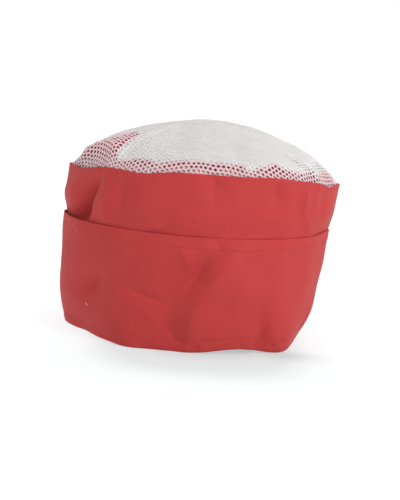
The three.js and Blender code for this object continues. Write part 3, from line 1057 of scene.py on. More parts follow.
@dataclass
class Cuff:
    """The turned-up cuff: a tall leg outside, a fold under the band's edge and a short leg inside."""

    form: Form
    columns: int = 480
    tuck: float = 10.0
    foot: float = 1.6  # height of the rounded fold that the cap rests on
    pressed: float = 0.6  # how much thinner the top edge is
    press_reach: float = 4.0
    gapes: tuple[Wave, ...] = (Wave(203.0, 15.0, 1.0), Wave(256.0, 8.0, 0.3), Wave(350.0, 12.0, 0.2))
    gape_reach: float = 5.0
    top_line: SewnLine = SewnLine(inset=7.5, sink=0.06, pucker=Ripples(seed=5, length=9.0, depth=0.12))
    rim_line: SewnLine = SewnLine(inset=8.0, sink=0.25, pucker=Ripples(seed=11, length=10.0, depth=0.2))

    def relief(self, angle: Array, height: Array) -> Array:
        """Gives how far sewing and wear push the cuff's outside out.

        Args:
            angle: Angles round the cap.
            height: Heights over the surface.

        Returns:
            The push at each place, in millimetres.
        """
        top, rim = self.form.cuff_height(angle), self.form.rim_height(angle)
        away = wave(self.gapes, angle) * bell(np.maximum(top - height, 0.0) / self.gape_reach)
        return away + self.top_line.push(angle, top - height) + self.rim_line.push(angle, height - rim)

    def outside(self, angle: Array, height: Array, depth: Array) -> Array:
        """Gives points at a depth under the cuff's outside."""
        radius = self.form.cuff_radius(angle, height) + self.relief(angle, height)
        return around(angle, radius - depth, height)

    def sections(self) -> Array:
        """Gives the cuff's points by row and column, starting outside at the foot.

        Returns:
            One closed ring of cloth, in millimetres.
        """
        angle = evenly_round(self.columns)
        rim, top = self.form.rim_height(angle), self.form.cuff_height(angle)
        cloth, leg = self.form.cuff_cloth, self.form.band_cloth
        trough = cloth + 2 * self.form.clearance + leg
        inside = trough + leg
        half = (cloth - self.pressed) / 2
        turn, leg_turn, foot_turn = arc(steps=6), arc(steps=4), arc(steps=8)
        front = rows_between(rim + self.foot, top - half, count=84)
        path = [
            (front, self.pressed * bell((top - half - front) / self.press_reach)),
            (top - half + half * np.sin(turn), cloth - half - half * np.cos(turn)),
            (rows_between(top - half, rim + cloth, count=22), cloth),
            (rows_between(rim + cloth, rim + self.tuck, count=5), trough),
            (rim + self.tuck + leg / 2 * np.sin(leg_turn), trough + leg / 2 * (1 - np.cos(leg_turn))),
            (rows_between(rim + self.tuck, rim + self.foot, count=6), inside),
            (rim + self.foot - self.foot * np.sin(foot_turn), inside / 2 * (1 + np.cos(foot_turn))),
        ]
        return np.concatenate([self.outside(angle, height, depth) for height, depth in path])

    def line(self, sewn: SewnLine, at_top: bool) -> Array:
        """Gives the points of a line of stitches on the cuff's outside, in millimetres.

        Args:
            sewn: The line.
            at_top: Whether it follows the top edge, or else the rim.

        Returns:
            A row for each point.
        """
        angle = evenly_round(2 * self.columns)
        if at_top:
            height = self.form.cuff_height(angle) - sewn.inset
        else:
            height = self.form.rim_height(angle) + sewn.inset
        return self.outside(angle, height, 0.0)

    def build(self, material: bpy.types.Material) -> bpy.types.Object:
        """Builds the cuff and dresses it."""
        return seated(shell("turned_cuff", [self.sections()], material), replaces="cuff")


@dataclass(frozen=True)
class NetCrease:
    """A groove of the net between two places, seen from above."""

    start: tuple[float, float]
    end: tuple[float, float]
    width: float
    depth: float

    def push(self, x: Array, y: Array) -> Array:
        """Gives how far the groove lowers the net at each place.

        Args:
            x: Distances to the right, in millimetres.
            y: Distances to the back.

        Returns:
            The change of height at each place.
        """
        run, rise = self.end[0] - self.start[0], self.end[1] - self.start[1]
        length = math.hypot(run, rise)
        along = ((x - self.start[0]) * run + (y - self.start[1]) * rise) / length
        aside = ((y - self.start[1]) * run - (x - self.start[0]) * rise) / length
        beyond = np.maximum(np.maximum(-along, along - length), 0.0)
        return -self.depth * CREASED.across(aside / self.width) * bell(beyond / (2 * self.width))


@dataclass
class NetSurface:
    """The smooth sheet in the middle of the net's thickness, measured along it from its middle."""

    form: Form
    step: float = 0.75
    lap: float = 18.0
    dome_rows: int = 200
    lap_rows: int = 36
    angle: Array = field(default_factory=lambda: np.arange(FULL_TURN + 1.0))
    creases: tuple[NetCrease, ...] = (
        NetCrease((-45.0, -43.0), (-56.0, -74.0), width=3.0, depth=1.8),
        NetCrease((65.0, -46.0), (75.0, -61.0), width=3.0, depth=2.0),
    )

    def __post_init__(self) -> None:
        """Works out the sheet's points and normals at even lengths along each direction."""
        form = self.form
        depth = form.net_cloth / 2
        seam = form.seam_height(self.angle)
        share = np.linspace(0.0, 1.0, self.dome_rows)[:, None]
        rise = form.dome(self.angle, share) * (1.0 - depth / form.dome_rise)
        height = form.seam + (seam - form.seam) * share**2 + rise
        dome = around(self.angle, (form.net_radius(self.angle, seam) - depth) * share, height)
        for crease in self.creases:
            dome[..., 2] += crease.push(dome[..., 0], dome[..., 1])
        down = seam - np.linspace(0.0, self.lap, self.lap_rows + 1)[1:, None]
        lap = around(self.angle, form.net_radius(self.angle, down) - depth, down)
        sheet = np.concatenate([dome, lap])
        lengths = np.cumsum(np.linalg.norm(np.diff(sheet, axis=0), axis=-1), axis=0)
        lengths = np.concatenate([np.zeros((1, len(self.angle))), lengths])
        self.reach = lengths[len(share) - 1]
        self.stops = np.arange(0.0, lengths[-1].min(), self.step)
        self.points = np.empty((len(self.stops), len(self.angle), 3))
        for column in range(len(self.angle)):
            along = lengths[:, column]
            for axis in range(3):
                self.points[:, column, axis] = np.interp(self.stops, along, sheet[:, column, axis])
        outward, round_it = np.gradient(self.points, axis=0), np.gradient(self.points, axis=1)
        round_it[:, [0, -1]] = (self.points[:, 1] - self.points[:, -2])[:, None] / 2
        normals = np.cross(outward, round_it)
        normals[0] = normals[1].mean(axis=0)
        self.normals = normals / np.linalg.norm(normals, axis=-1)[..., None]

    def reach_at(self, angle: Array) -> Array:
        """Gives the length from the middle to the seam at these angles."""
        return np.interp(angle, self.angle, self.reach)

    def place_of(self, flat: Array) -> tuple[Array, Array]:
        """Gives the angle of flat points and their share of the way out to the seam."""
        angle, length = polar(flat)
        return angle, length / self.reach_at(angle)

    def lay(self, flat: Array, sunk: float = 0.0) -> Array:
        """Lays flat points on the sheet, so that lengths out from its middle stay true.

        Args:
            flat: Points in millimetres, flat about the origin.
            sunk: How far below the sheet they are laid.

        Returns:
            The points on the sheet, in millimetres.
        """
        angle, length = polar(flat)
        last = len(self.stops) - 1.001  # just before the last row, so that each has a next one
        length = np.clip(length / self.step, 0.0, last)
        column, row = angle.astype(int), length.astype(int)
        side, up = (angle - column)[:, None], (length - row)[:, None]
        place, normal = (
            (sheet[row, column] * (1 - side) + sheet[row, column + 1] * side) * (1 - up)
            + (sheet[row + 1, column] * (1 - side) + sheet[row + 1, column + 1] * side) * up
            for sheet in (self.points, self.normals)
        )
        return place + normal * (flat[:, 2] - sunk)[:, None]


@dataclass(frozen=True)
class Turning:
    """The band's edge beyond the seam, turned in behind the net, where it shows through the holes."""

    columns: int = 480
    rows: int = 14
    below_seam: float = 6.0
    sunk: float = 1.1
    cloth: float = 0.6
    fade: float = 2.0
    fray: Ripples = Ripples(seed=47, length=11.0, depth=0.7)
    heights: tuple[tuple[float, float], ...] = (  # angle, and how far the edge stands up there
        (0.0, 7.0),
        (60.0, 9.0),
        (120.0, 9.0),
        (180.0, 8.0),
        (198.0, 8.0),
        (202.0, 18.0),
        (206.0, 27.0),
        (214.0, 31.0),
        (219.0, 46.0),
        (222.0, 50.0),
        (225.0, 45.0),
        (228.0, 36.0),
        (229.6, 27.0),
        (230.6, 12.0),
        (232.0, 6.4),
        (238.0, 9.7),
        (242.5, 12.0),
        (248.0, 10.6),
        (252.5, 8.1),
        (261.5, 10.1),
        (272.0, 9.1),
        (285.5, 9.0),
        (289.0, 5.3),
        (294.5, 7.4),
        (301.0, 11.0),
        (307.0, 7.9),
        (315.0, 6.6),
        (319.5, 9.0),
        (323.5, 6.6),
        (332.0, 12.5),
        (343.5, 9.5),
        (360.0, 7.0),
    )

    def rise(self, angle: Array) -> Array:
        """Gives how far the edge stands up from the seam, along the net."""
        table = np.array(self.heights)
        return np.interp(angle, table[:, 0], table[:, 1]) + self.fray.push(angle, np.zeros_like(angle))

    def backing(self, surface: NetSurface, flat: Array, margin: float) -> Array:
        """Gives how much of the edge lies behind flat points of the net.

        Args:
            surface: The sheet that the net lies on.
            flat: Points of the net in millimetres, flat about the origin.
            margin: How far past the edge the first points are that count.

        Returns:
            A share for each point, which fades out towards the edge.
        """
        angle, length = polar(flat)
        from_seam = surface.reach_at(angle) - length
        return eased((self.rise(angle) + margin - from_seam) / self.fade)

    def sections(self, surface: NetSurface) -> Array:
        """Gives the edge's points by row and column, up its outside and down its inside.

        Args:
            surface: The sheet that the net lies on.

        Returns:
            One closed ring of cloth, in millimetres.
        """
        angle = evenly_round(self.columns)
        climb = rows_between(-self.below_seam * np.ones_like(angle), self.rise(angle), self.rows)
        length = surface.reach_at(angle) - climb
        sheets = []
        for depth, order in ((self.sunk, 1), (self.sunk + self.cloth, -1)):
            flat = around(angle, length, 0.0).reshape(-1, 3)
            sheets.append(surface.lay(flat, depth).reshape(self.rows, self.columns, 3)[::order])
        return np.concatenate(sheets)


@dataclass(frozen=True)
class Tuck(Slant):
    """A place where the cloth beside a deep fold hangs over it, towards falling angles."""

    reach: float

    def shift(self, angle: Array, height: Array) -> Array:
        """Gives how far the cloth hangs over at each place, in degrees round the cap."""
        across, along = self.offsets(angle, height)
        return self.reach / GIRTH_STEP * bell(across / self.across - 1.0) * bell(along / self.along)


@dataclass
class SideBand:
    """The round wall of one ply, from the fold of the cuff up to the net's seam."""

    form: Form
    columns: int = 640
    hidden: float = 5.0  # how far below the cuff's edge the fine rows start
    turning: Turning = Turning()
    tuck: Tuck = Tuck(217.5, 97.5, tilt=42.0, across=2.4, along=13.0, reach=3.6)
    scallop: Ripples = Ripples(seed=41, length=4.4, depth=0.22)
    seam_pucker: Ripples = Ripples(seed=31, length=6.5, depth=0.3)
    pucker_reach: float = 3.5

    def outside(self, angle: Array, height: Array, depth: Array) -> Array:
        """Gives points at a depth under the band's outside.

        Args:
            angle: Angles round the cap.
            height: Heights over the surface.
            depth: Depths under the outside.

        Returns:
            The points, in millimetres.
        """
        below_seam = self.form.seam_height(angle) - height
        drawn_in = self.seam_pucker.push(angle, height) * bell(below_seam / self.pucker_reach)
        radius = self.form.band_radius(angle, height) + drawn_in - depth
        return around(angle - self.tuck.shift(angle, height), radius, height)

    def sections(self) -> Array:
        """Gives the band's points by row and column, starting outside at the foot.

        Returns:
            One closed ring of cloth, in millimetres.
        """
        angle = evenly_round(self.columns)
        cloth = self.form.band_cloth
        foot = self.form.rim_height(angle) + self.form.cuff_cloth + self.form.clearance
        edge = self.form.cuff_height(angle)
        seam = self.form.seam_height(angle) + self.scallop.push(angle, np.zeros_like(angle))
        half = cloth / 2
        turn = arc(steps=6)
        path = [
            (rows_between(foot, edge - self.hidden, count=13)[:-1], 0.0),
            (rows_between(edge - self.hidden, seam - half, count=50), 0.0),
            (seam - half + half * np.sin(turn), half - half * np.cos(turn)),
            (rows_between(seam - half, foot, count=46), cloth),
        ]
        return np.concatenate([self.outside(angle, height, depth) for height, depth in path])

    def build(self, surface: NetSurface, material: bpy.types.Material) -> bpy.types.Object:
        """Builds the band and its turned edge behind the net, and dresses them."""
        piece = shell("cloth_band", [self.sections(), self.turning.sections(surface)], material)
        return seated(piece, replaces="side_band")


class Modifier:
    """A Geometry Nodes modifier on a piece, with its inputs set by name before it is evaluated."""

    def __init__(
        self, piece: bpy.types.Object, tree: bpy.types.NodeTree, inputs: dict[str, object]
    ) -> None:
        """Adds the modifier.

        Args:
            piece: The object that carries it.
            tree: The tree that it runs.
            inputs: The values of the tree's named inputs.
        """
        self.piece = piece
        self.modifier = piece.modifiers.new(tree.name, "NODES")
        self.modifier.node_group = tree
        items = tree.interface.items_tree
        sockets = {item.name: item.identifier for item in items if item.in_out == "INPUT"}
        for name, value in inputs.items():
            self.modifier[sockets[name]] = value

    def applied(self) -> bpy.types.Mesh:
        """Turns the evaluated result into a plain mesh, and takes the modifier and its carrier away.

        Returns:
            The mesh.
        """
        evaluated = self.piece.evaluated_get(bpy.context.evaluated_depsgraph_get())
        mesh = bpy.data.meshes.new_from_object(evaluated)
        self.piece.modifiers.remove(self.modifier)
        carrier = self.piece.data
        bpy.data.objects.remove(self.piece)
        bpy.data.meshes.remove(carrier)
        return mesh


def stitch_tree() -> bpy.types.NodeTree:
    """Makes the tree that sews a row of stitches along a line.

    Returns:
        The tree.
    """
    tree, given, wanted = node_group(
        "Stitch row",
        "GeometryNodeTree",
        {
            "Line": GEOMETRY,
            "Pitch": FLOAT,
            "Start": VECTOR,
            "Middle": VECTOR,
            "End": VECTOR,
            "Thread Radius": FLOAT,
            "Thread Sides": INTEGER,
            "Material": MATERIAL,
        },
        {"Stitches": GEOMETRY},
    )
    line = tree.placed("GeometryNodeMeshToCurve", {"Mesh": given["Line"]})
    spaced = tree.placed(
        "GeometryNodeResampleCurve",
        {"Curve": line.outputs["Curve"], "Length": given["Pitch"]},
        mode="LENGTH",
    )
    stitch = tree.placed(
        "GeometryNodeCurveQuadraticBezier",
        {"Resolution": 6, "Start": given["Start"], "Middle": given["Middle"], "End": given["End"]},
    )
    thread = tree.placed(
        "GeometryNodeCurvePrimitiveCircle",
        {"Resolution": given["Thread Sides"], "Radius": given["Thread Radius"]},
    )
    tube = tree.placed(
        "GeometryNodeCurveToMesh",
        {"Curve": stitch.outputs["Curve"], "Profile Curve": thread.outputs["Curve"], "Fill Caps": True},
    )
    along = tree.placed(
        "FunctionNodeAlignRotationToVector",
        {"Vector": tree.node("GeometryNodeInputTangent").outputs["Tangent"]},
        axis="X",
    )
    outward = tree.placed("GeometryNodeInputNamedAttribute", {"Name": OUTWARD}, data_type="FLOAT_VECTOR")
    facing = tree.placed(
        "FunctionNodeAlignRotationToVector",
        {"Rotation": along.outputs["Rotation"], "Vector": outward.outputs["Attribute"]},
        axis="Z",
        pivot_axis="X",
    )
    sewn = tree.placed(
        "GeometryNodeInstanceOnPoints",
        {
            "Points": spaced.outputs["Curve"],
            "Instance": tube.outputs["Mesh"],
            "Rotation": facing.outputs["Rotation"],
        },
    )
    real = tree.realized(sewn.outputs["Instances"])
    tree.feed(wanted["Stitches"], tree.dressed(real, given["Material"]))
    return tree.tree


@dataclass
class StitchRow:
    """A row of machine stitches along a line on the cloth."""

    name: str
    line: Array
    pitch: float = 2.9
    length: float = 2.3
    thread: float = 0.34
    sides: int = 7
    rise: float = 0.19
    sink: float = 0.18

    def build(self, tree: bpy.types.NodeTree, material: bpy.types.Material) -> bpy.types.Object:
        """Sews the row.

        Args:
            tree: The tree that places stitches along a line.
            material: The thread's material.

        Returns:
            The stitches as one piece.
        """
        count = len(self.line)
        mesh = bpy.data.meshes.new(self.name)
        edges = [(i, (i + 1) % count) for i in range(count)]
        mesh.from_pydata((self.line * MM).tolist(), edges, [])
        outward = mesh.attributes.new(OUTWARD, "FLOAT_VECTOR", "POINT")
        level = self.line * (1.0, 1.0, 0.0)
        outward.data.foreach_set("vector", (level / np.linalg.norm(level, axis=1)[:, None]).ravel())
        inputs = {
            "Pitch": self.pitch * MM,
            "Start": (-self.length / 2 * MM, 0.0, -self.sink * MM),
            "Middle": (0.0, 0.0, self.rise * MM),
            "End": (self.length / 2 * MM, 0.0, -self.sink * MM),
            "Thread Radius": self.thread / 2 * MM,
            "Thread Sides": self.sides,
            "Material": material,
        }
        sewn = Modifier(linked(self.name, mesh), tree, inputs).applied()
        return seated(linked(self.name, smoothed(sewn)))


def lattice_tree() -> bpy.types.NodeTree:
    """Makes the tree that lays meshes of a net side by side, every other row half a mesh along.

    Returns:
        The tree.
    """
    tree, given, wanted = node_group(
        "Net lattice",
        "GeometryNodeTree",
        {
            "Mesh": GEOMETRY,
            "Pitch Across": FLOAT,
            "Pitch Along": FLOAT,
            "Columns": INTEGER,
            "Rows": INTEGER,
            "Reach": VECTOR,
            "Inner Share": FLOAT,
            "Merge Distance": FLOAT,
            "Material": MATERIAL,
        },
        {"Net": GEOMETRY},
    )
    across, along = (
        tree.math("MULTIPLY", tree.math("SUBTRACT", given[count], 1.0), given[pitch])
        for count, pitch in (("Columns", "Pitch Across"), ("Rows", "Pitch Along"))
    )
    grid = tree.placed(
        "GeometryNodeMeshGrid",
        {"Size X": across, "Size Y": along, "Vertices X": given["Columns"], "Vertices Y": given["Rows"]},
    )
    place = tree.node("GeometryNodeInputPosition").outputs["Position"]
    height = tree.placed("ShaderNodeSeparateXYZ", {"Vector": place}).outputs["Y"]
    row = tree.math("ROUND", tree.math("DIVIDE", height, given["Pitch Along"]))
    half = tree.math("MULTIPLY", tree.math("FLOORED_MODULO", row, 2.0), 0.5)
    shift = tree.placed("ShaderNodeCombineXYZ", {"X": tree.math("MULTIPLY", half, given["Pitch Across"])})
    staggered = tree.placed(
        "GeometryNodeSetPosition",
        {"Geometry": grid.outputs["Mesh"], "Offset": shift.outputs["Vector"]},
    )
    share = tree.length(tree.vector_math("DIVIDE", place, given["Reach"]))
    inside = tree.math("LESS_THAN", share, 1.0)
    beyond = tree.math("GREATER_THAN", share, given["Inner Share"])
    laid = tree.placed(
        "GeometryNodeInstanceOnPoints",
        {
            "Points": staggered.outputs["Geometry"],
            "Selection": tree.math("MULTIPLY", inside, beyond),
            "Instance": given["Mesh"],
        },
    )
    knitted = tree.placed(
        "GeometryNodeMergeByDistance",
        {"Geometry": tree.realized(laid.outputs["Instances"]), "Distance": given["Merge Distance"]},
    )
    tree.feed(wanted["Net"], tree.dressed(knitted.outputs["Geometry"], given["Material"]))
    return tree.tree


@dataclass(frozen=True)
class NetMesh:
    """One mesh of the net: a hexagon of rounded thread about an oval hole."""

    across: float = 3.5
    along: float = 2.95
    hole_across: float = 1.95
    hole_along: float = 1.65
    thread: float = 1.9
    slant: float = 0.5  # how far the hexagon's upper and lower corners stand out

    def build(self, name: str) -> bpy.types.Object:
        """Makes the mesh flat about the origin, with its thread above and below the plane.

        Args:
            name: The object's name.

        Returns:
            The mesh as an object.
        """
        side, low, high = self.across / 2, self.along / 2 - self.slant, self.along / 2 + self.slant
        hexagon = [(side, low), (0.0, high), (-side, low), (-side, -low), (0.0, -high), (side, -low)]
        sides, stops = len(hexagon), 2 * len(hexagon)
        turns = np.radians(evenly_round(stops))
        hole = np.stack([self.hole_across / 2 * np.cos(turns), self.hole_along / 2 * np.sin(turns)], -1)
        points = [(x, y, self.thread / 2) for x, y in hexagon]
        points += [(x, y, -self.thread / 2) for x, y in hexagon]
        points += [(x, y, 0.0) for x, y in hole]
        faces = []
        for corner in range(sides):
            beside = (corner + 1) % sides
            ring = [2 * sides + (2 * corner + step) % stops for step in (1, 2, 3)]
            upper = [(corner, beside, ring[1]), (corner, ring[1], ring[0]), (beside, ring[2], ring[1])]
            faces += upper
            faces += [tuple(i + sides if i < sides else i for i in reversed(face)) for face in upper]
        mesh = bpy.data.meshes.new(name)
        mesh.from_pydata((np.array(points) * MM).tolist(), [], faces)
        return linked(name, mesh)


@dataclass(frozen=True)
class Pull:
    """A place where the net is pulled thin over an edge. Its reach is in degrees and in shares."""

    angle: float
    share: float
    wide: float
    deep: float

    def strength(self, angle: Array, share: Array) -> Array:
        """Gives how much of the pull is felt at each place."""
        return bell(turned(angle, self.angle) / self.wide) * bell((share - self.share) / self.deep)


@dataclass(frozen=True)
class Stretch:
    """A place where the net is drawn wide along the seam. Its share is of the way out to the seam."""

    angle: float
    share: float
    reach: float
    gain: float

    def shift(self, surface: NetSurface, flat: Array) -> Array:
        """Gives how far flat points of the net are drawn aside.

        Args:
            surface: The sheet that the net lies on.
            flat: Points of the net in millimetres, flat about the origin.

        Returns:
            The shift of each point.
        """
        turn = math.radians(self.angle)
        out = np.array((math.cos(turn), math.sin(turn), 0.0))
        aside = np.array((-math.sin(turn), math.cos(turn), 0.0))
        away = flat * (1.0, 1.0, 0.0) - out * self.share * surface.reach_at(self.angle)
        along = away @ aside
        near = bell(np.linalg.norm(away, axis=1) / self.reach)
        return (self.gain * along * near)[:, None] * aside


def rimmed(mesh: bpy.types.Mesh) -> bpy.types.Mesh:
    """Closes the cut edges of a flat net, where its upper and its lower skin end.

    Args:
        mesh: The net's mesh, flat about the origin.

    Returns:
        A new mesh with the same points and more faces.
    """
    points = [(round(x, 2), round(y, 2), z) for x, y, z in vertices_of(mesh) / MM]
    keys = {(x, y, z > 0): i for i, (x, y, z) in enumerate(points)}
    uses: dict[tuple[int, int], tuple[int, int]] = {}
    for face in mesh.polygons:
        corners = list(face.vertices)
        for a, b in zip(corners, corners[1:] + corners[:1]):
            key = (min(a, b), max(a, b))
            if key in uses:
                del uses[key]
            else:
                uses[key] = (a, b)
    below = {i: keys[x, y, False] for i, (x, y, z) in enumerate(points) if z > NEAR_PLANE}
    faces = [tuple(face.vertices) for face in mesh.polygons]
    faces += [(b, a, below[a], below[b]) for a, b in uses.values() if a in below and b in below]
    closed = bpy.data.meshes.new(mesh.name)
    closed.from_pydata(vertices_of(mesh).tolist(), [], faces)
    for material in filter(None, mesh.materials):
        closed.materials.append(material)
    return closed


@dataclass(frozen=True)
class NetLayer:
    """One layer of the net: its whole crown, or the edge that is turned in over the seam."""

    name: str
    inner: float  # from the middle, as a share of the reach; below 0 the middle is in too
    past_seam: float
    sunk: float = 0.0
    shift: tuple[float, float] = (0.0, 0.0)
    replaces: str | None = None


@dataclass
class CrownNet:
    """The crown: a flat net laid over the head's round top, its edge lapped inside the band."""

    surface: NetSurface
    turning: Turning
    mesh: NetMesh = NetMesh()
    seed: int = 7
    drift: float = 0.3
    drift_waves: int = 14
    drift_length: tuple[float, float] = (12.0, 45.0)
    jitter: float = 0.05
    tight_height: float = 0.32  # of a thread's height, where the net is pulled tightest
    slack_height: float = 0.2  # of a thread's height, where the net is slack
    slack_hole: float = 0.09  # of a hole's width, where the net is slack
    rounded_from: float = 0.3  # tightness from which the threads look round, below it they lie flat
    tight_to: float = -0.6  # past the same edge, up to which the threads get the painted pink glow of the cloth behind
    glow_painted_to: float = 1.0  # past the same edge, which colours the threads
    spare: int = 3  # rows and columns more than reach the edge, because every other row is shifted
    merge: float = 0.02
    pulls: tuple[Pull, ...] = (
        Pull(321.0, 0.9, wide=2.5, deep=0.09),
        Pull(318.5, 0.8, wide=1.8, deep=0.08),
        Pull(343.0, 0.93, wide=14.0, deep=0.1),
    )
    stretch: Stretch = Stretch(208.0, share=0.9, reach=22.0, gain=0.95)
    layers: tuple[NetLayer, ...] = (
        NetLayer("net_crown", inner=-1.0, past_seam=7.0, replaces="crown_net"),
        NetLayer("net_turning", inner=0.982, past_seam=6.0, sunk=0.55, shift=(1.1, 0.9)),
    )

    def unevenness(self, flat: Array) -> Array:
        """Gives how far the knitting strays from an even net at flat points.

        Args:
            flat: Points of the net in millimetres, flat about the origin.

        Returns:
            The shift of each point.
        """
        draw = np.random.default_rng(self.seed)
        stray = np.zeros_like(flat)
        for _ in range(self.drift_waves):
            heading, length = draw.uniform(0.0, math.tau), draw.uniform(*self.drift_length)
            turns = (flat[:, 0] * math.cos(heading) + flat[:, 1] * math.sin(heading)) * math.tau / length
            push = draw.normal(0.0, self.drift / math.sqrt(self.drift_waves), 3)
            stray += np.cos(turns + draw.uniform(0.0, math.tau))[:, None] * push
        return stray + draw.normal(0.0, self.jitter, flat.shape)

    def tightness(self, flat: Array) -> Array:
        """Gives how tightly the net is pulled at flat points, from 0 to 1.

        Args:
            flat: Points of the net in millimetres, flat about the origin.

        Returns:
            The tightness at each point.
        """
        angle, share = self.surface.place_of(flat)
        pulled = sum(pull.strength(angle, share) for pull in self.pulls)
        held = self.turning.backing(self.surface, flat, self.tight_to)
        return np.clip(np.maximum(pulled, held), 0.0, 1.0)

    def slackened(self, flat: Array, tight: Array) -> Array:
        """Makes the holes smaller and the threads lower where the net is slack.

        Args:
            flat: The net's points, with its threads above and below the plane.
            tight: How tightly the net is pulled at each point.

        Returns:
            The changed points.
        """
        row = np.round(flat[:, 1] / self.mesh.along)
        half = np.mod(row, 2.0) / 2.0
        column = np.round(flat[:, 0] / self.mesh.across - half) + half
        middle = np.stack([column * self.mesh.across, row * self.mesh.along, np.zeros(len(flat))], -1)
        hole = self.slack_hole + (1.0 - self.slack_hole) * tight
        width = np.where(np.abs(flat[:, 2]) < NEAR_PLANE, hole, 1.0)
        changed = middle + (flat - middle) * width[:, None]
        changed[:, 2] *= self.slack_height + (self.tight_height - self.slack_height) * tight
        return changed

    def layer(
        self, kind: NetLayer, tree: bpy.types.NodeTree, material: bpy.types.Material
    ) -> bpy.types.Object:
        """Makes one layer of the net.

        Args:
            kind: Which layer it is.
            tree: The tree that lays the net's meshes side by side.
            material: The net's material.

        Returns:
            The layer as one piece.
        """
        right, back, left, front = self.surface.reach[[0, 90, 180, 270]]
        reach = ((right + left) / 2 + kind.past_seam, (front + back) / 2 + kind.past_seam)
        inputs = {
            "Pitch Across": self.mesh.across * MM,
            "Pitch Along": self.mesh.along * MM,
            "Columns": 2 * math.ceil(reach[0] / self.mesh.across) + self.spare,
            "Rows": 2 * math.ceil(reach[1] / self.mesh.along) + self.spare,
            "Reach": (reach[0] * MM, reach[1] * MM, 1.0),
            "Inner Share": kind.inner * (reach[0] - kind.past_seam) / reach[0],
            "Merge Distance": self.merge * MM,
            "Material": material,
        }
        net = rimmed(Modifier(self.mesh.build(kind.name), tree, inputs).applied())
        even = vertices_of(net) / MM
        moved = self.stretch.shift(self.surface, even) + self.unevenness(even) + (*kind.shift, 0.0)
        # how much painted pink glow each point gets from the cloth behind
        painted_cloth_glow = self.turning.backing(self.surface, even + moved, self.glow_painted_to)
        tight = self.tightness(even + moved)
        laid = self.surface.lay(self.slackened(even, tight) + moved, kind.sunk)
        net.vertices.foreach_set("co", (laid * MM).astype(np.float32).ravel())
        glow_attribute = net.attributes.new(PAINTED_CLOTH_GLOW, "FLOAT", "POINT")
        glow_attribute.data.foreach_set("value", painted_cloth_glow.astype(np.float32))
        tightest = np.array([tight[list(face.vertices)].max() for face in net.polygons])
        net.polygons.foreach_set("use_smooth", tightest > self.rounded_from)
        net.update()
        return seated(linked(kind.name, net), kind.replaces)

    def build(self, material: bpy.types.Material) -> list[bpy.types.Object]:
        """Builds every layer of the net."""
        tree = lattice_tree()
        return [self.layer(kind, tree, material) for kind in self.layers]


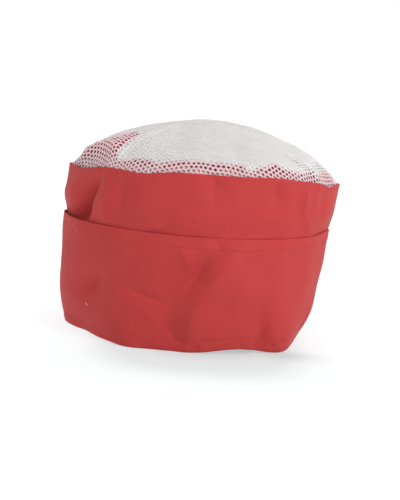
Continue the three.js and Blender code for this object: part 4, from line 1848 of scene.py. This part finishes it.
@dataclass
class Studio:
    """The plain pale surface, the soft light and the camera."""

    floor_width: float = 12.0
    floor_white: Colour = (0.19, 0.22, 0.22)  # returned of the light that falls on it
    floor_glow: tuple[tuple[float, float], ...] = (  # metres from the painted shade's middle, and the floor's glow there
        (0.055, 0.53),
        (0.070, 0.60),
        (0.090, 0.615),
        (0.100, 0.67),
        (0.120, 0.785),
        (0.150, 0.83),
        (0.3, 1.0),
    )
    shade_middle: Place = (0.006, -0.04, 0.0)
    shade_shape: Place = (1.5, 1.0, 1.0)
    shade_power: float = 3.0  # above 2 the shade is squarer than an oval
    # painted shadow on the floor under the cap's right front corner
    corner_shade: Speck = Speck((66.0, -74.0), length=24.0, width=15.0, strength=0.22)
    inside: tuple[float, float] = (0.06, 0.08)  # from the middle, in metres, where the cap's inside ends
    inside_glow: float = 0.25  # of the floor's glow under the cap: painted shade where no light reaches the floor
    sky: float = 0.65
    background: float = 1.05
    key_place: Place = (0.85, -0.80, 1.05)
    key_size: float = 0.5
    key_power: float = 11.0
    lit_place: Place = (0.0, 0.0, 0.08)
    eye: Place = (0.002, -0.606, 0.120)
    pitch: float = -5.5
    roll: float = 4.3
    focal: float = 56.16
    long_side: float = 36.0

    def surface(self, effects: Effects) -> None:
        """Lays the floor, which glows white, with painted soft shade about the cap, under it and at its
        corner.

        Args:
            effects: The shared shader groups.
        """
        half = self.floor_width / 2
        corners = [(-half, -half, 0), (half, -half, 0), (half, half, 0), (-half, half, 0)]
        mesh = bpy.data.meshes.new("Floor")
        mesh.from_pydata(corners, [], [(0, 1, 2, 3)])
        tree, shader, material = Finish.start("Floor white")
        shader.inputs["Base Color"].default_value = (*self.floor_white, 1.0)
        shader.inputs["Roughness"].default_value = 1.0
        shader.inputs["Specular IOR Level"].default_value = 0.0
        place = tree.node("ShaderNodeTexCoord").outputs["Object"]
        offset = tree.vector_math("SUBTRACT", place, self.shade_middle)
        scaled = tree.vector_math("ABSOLUTE", tree.vector_math("MULTIPLY", offset, self.shade_shape))
        parts = tree.placed("ShaderNodeSeparateXYZ", {"Vector": scaled})
        powers = [tree.math("POWER", parts.outputs[axis], self.shade_power) for axis in ("X", "Y")]
        shaded = tree.math("POWER", tree.math("ADD", *powers), 1.0 / self.shade_power)
        # the floor's glow, lowered near the cap as a painted soft shadow
        glow = tree.node("ShaderNodeValToRGB")
        tree.feed(glow.inputs["Fac"], shaded)
        stops = glow.color_ramp.elements
        for stop, light in self.floor_glow:
            stops.new(stop).color = (light, light, light, 1.0)
        stops.remove(stops[0])
        stops.remove(stops[-1])
        # painted shade under the cap: the floor's glow is dimmed inside its rim
        start, end = self.inside
        inputs = {
            "Value": tree.length(place),
            "From Min": start,
            "From Max": end,
            "To Min": self.inside_glow,
        }
        under_cap_shade = tree.placed("ShaderNodeMapRange", inputs)
        # painted shadow under the cap's corner, taken off the floor's glow
        mask = self.corner_shade.mask(tree, effects.speck, place)
        lit = tree.math("SUBTRACT", 1.0, tree.math("MULTIPLY", mask, self.corner_shade.strength))
        share = tree.math("MULTIPLY", under_cap_shade.outputs["Result"], lit)
        shining = tree.vector_math("MULTIPLY", glow.outputs["Color"], share)
        tree.feed(shader.inputs["Emission Color"], shining)
        shader.inputs["Emission Strength"].default_value = 1.0
        mesh.materials.append(material)
        linked("Floor", mesh)

    def sky_light(self) -> None:
        """Sets the even white light from all around."""
        world = bpy.data.worlds.new("Studio")
        world.use_nodes = True
        tree = Tree(world.node_tree)
        background = world.node_tree.nodes["Background"]
        background.inputs["Color"].default_value = (1.0, 1.0, 1.0, 1.0)
        seen = tree.node("ShaderNodeLightPath").outputs["Is Camera Ray"]
        tree.feed(background.inputs["Strength"], tree.span(seen, self.sky, self.background))
        bpy.context.scene.world = world

    def lamp(self, name: str, place: Place, size: float, power: float) -> None:
        """Hangs a square soft lamp that faces the cap.

        Args:
            name: The lamp's name.
            place: Where it hangs, in metres.
            size: The length of its sides, in metres.
            power: Its power in watts.
        """
        light = bpy.data.lights.new(name, "AREA")
        light.size = size
        light.energy = power
        lamp = bpy.data.objects.new(name, light)
        lamp.location = place
        facing = Vector(self.lit_place) - Vector(place)
        lamp.rotation_euler = facing.to_track_quat("-Z", "Y").to_euler()
        bpy.context.scene.collection.objects.link(lamp)

    def camera(self) -> None:
        """Sets up the camera at the photograph's place."""
        lens = bpy.data.cameras.new("Camera")
        lens.lens = self.focal
        lens.sensor_width = self.long_side
        lens.clip_start = 0.01
        lens.clip_end = 100.0
        camera = bpy.data.objects.new("Camera", lens)
        pitched = Matrix.Rotation(math.radians(90.0 + self.pitch), 4, "X")
        rolled = Matrix.Rotation(math.radians(self.roll), 4, "Z")
        camera.matrix_world = Matrix.Translation(self.eye) @ pitched @ rolled
        bpy.context.scene.collection.objects.link(camera)
        bpy.context.scene.camera = camera

    def build(self, effects: Effects) -> None:
        """Sets up the whole studio.

        Args:
            effects: The shared shader groups.
        """
        self.surface(effects)
        self.sky_light()
        self.lamp("Key", self.key_place, self.key_size, self.key_power)
        self.camera()
        bpy.context.scene.view_settings.view_transform = "Standard"


def main() -> None:
    """Builds the cap and its studio."""
    logging.basicConfig(level=logging.INFO, format="%(name)s %(message)s")
    effects = Effects()
    form = Form()
    cloth = ClothFinish("Coral cloth").build(effects)
    marked = ClothFinish("Coral cloth of the cuff", specks=(LINT, DOT)).build(effects)
    thread = ThreadFinish().build()
    cuff = Cuff(form)
    cuff.build(marked)
    surface = NetSurface(form)
    band = SideBand(form)
    band.build(surface, cloth)
    sewing = stitch_tree()
    StitchRow("cuff_stitches", cuff.line(cuff.top_line, at_top=True)).build(sewing, thread)
    StitchRow("rim_stitches", cuff.line(cuff.rim_line, at_top=False)).build(sewing, thread)
    CrownNet(surface, band.turning).build(NetFinish().build(effects))
    Studio().build(effects)


if __name__ == "__main__":
    main()
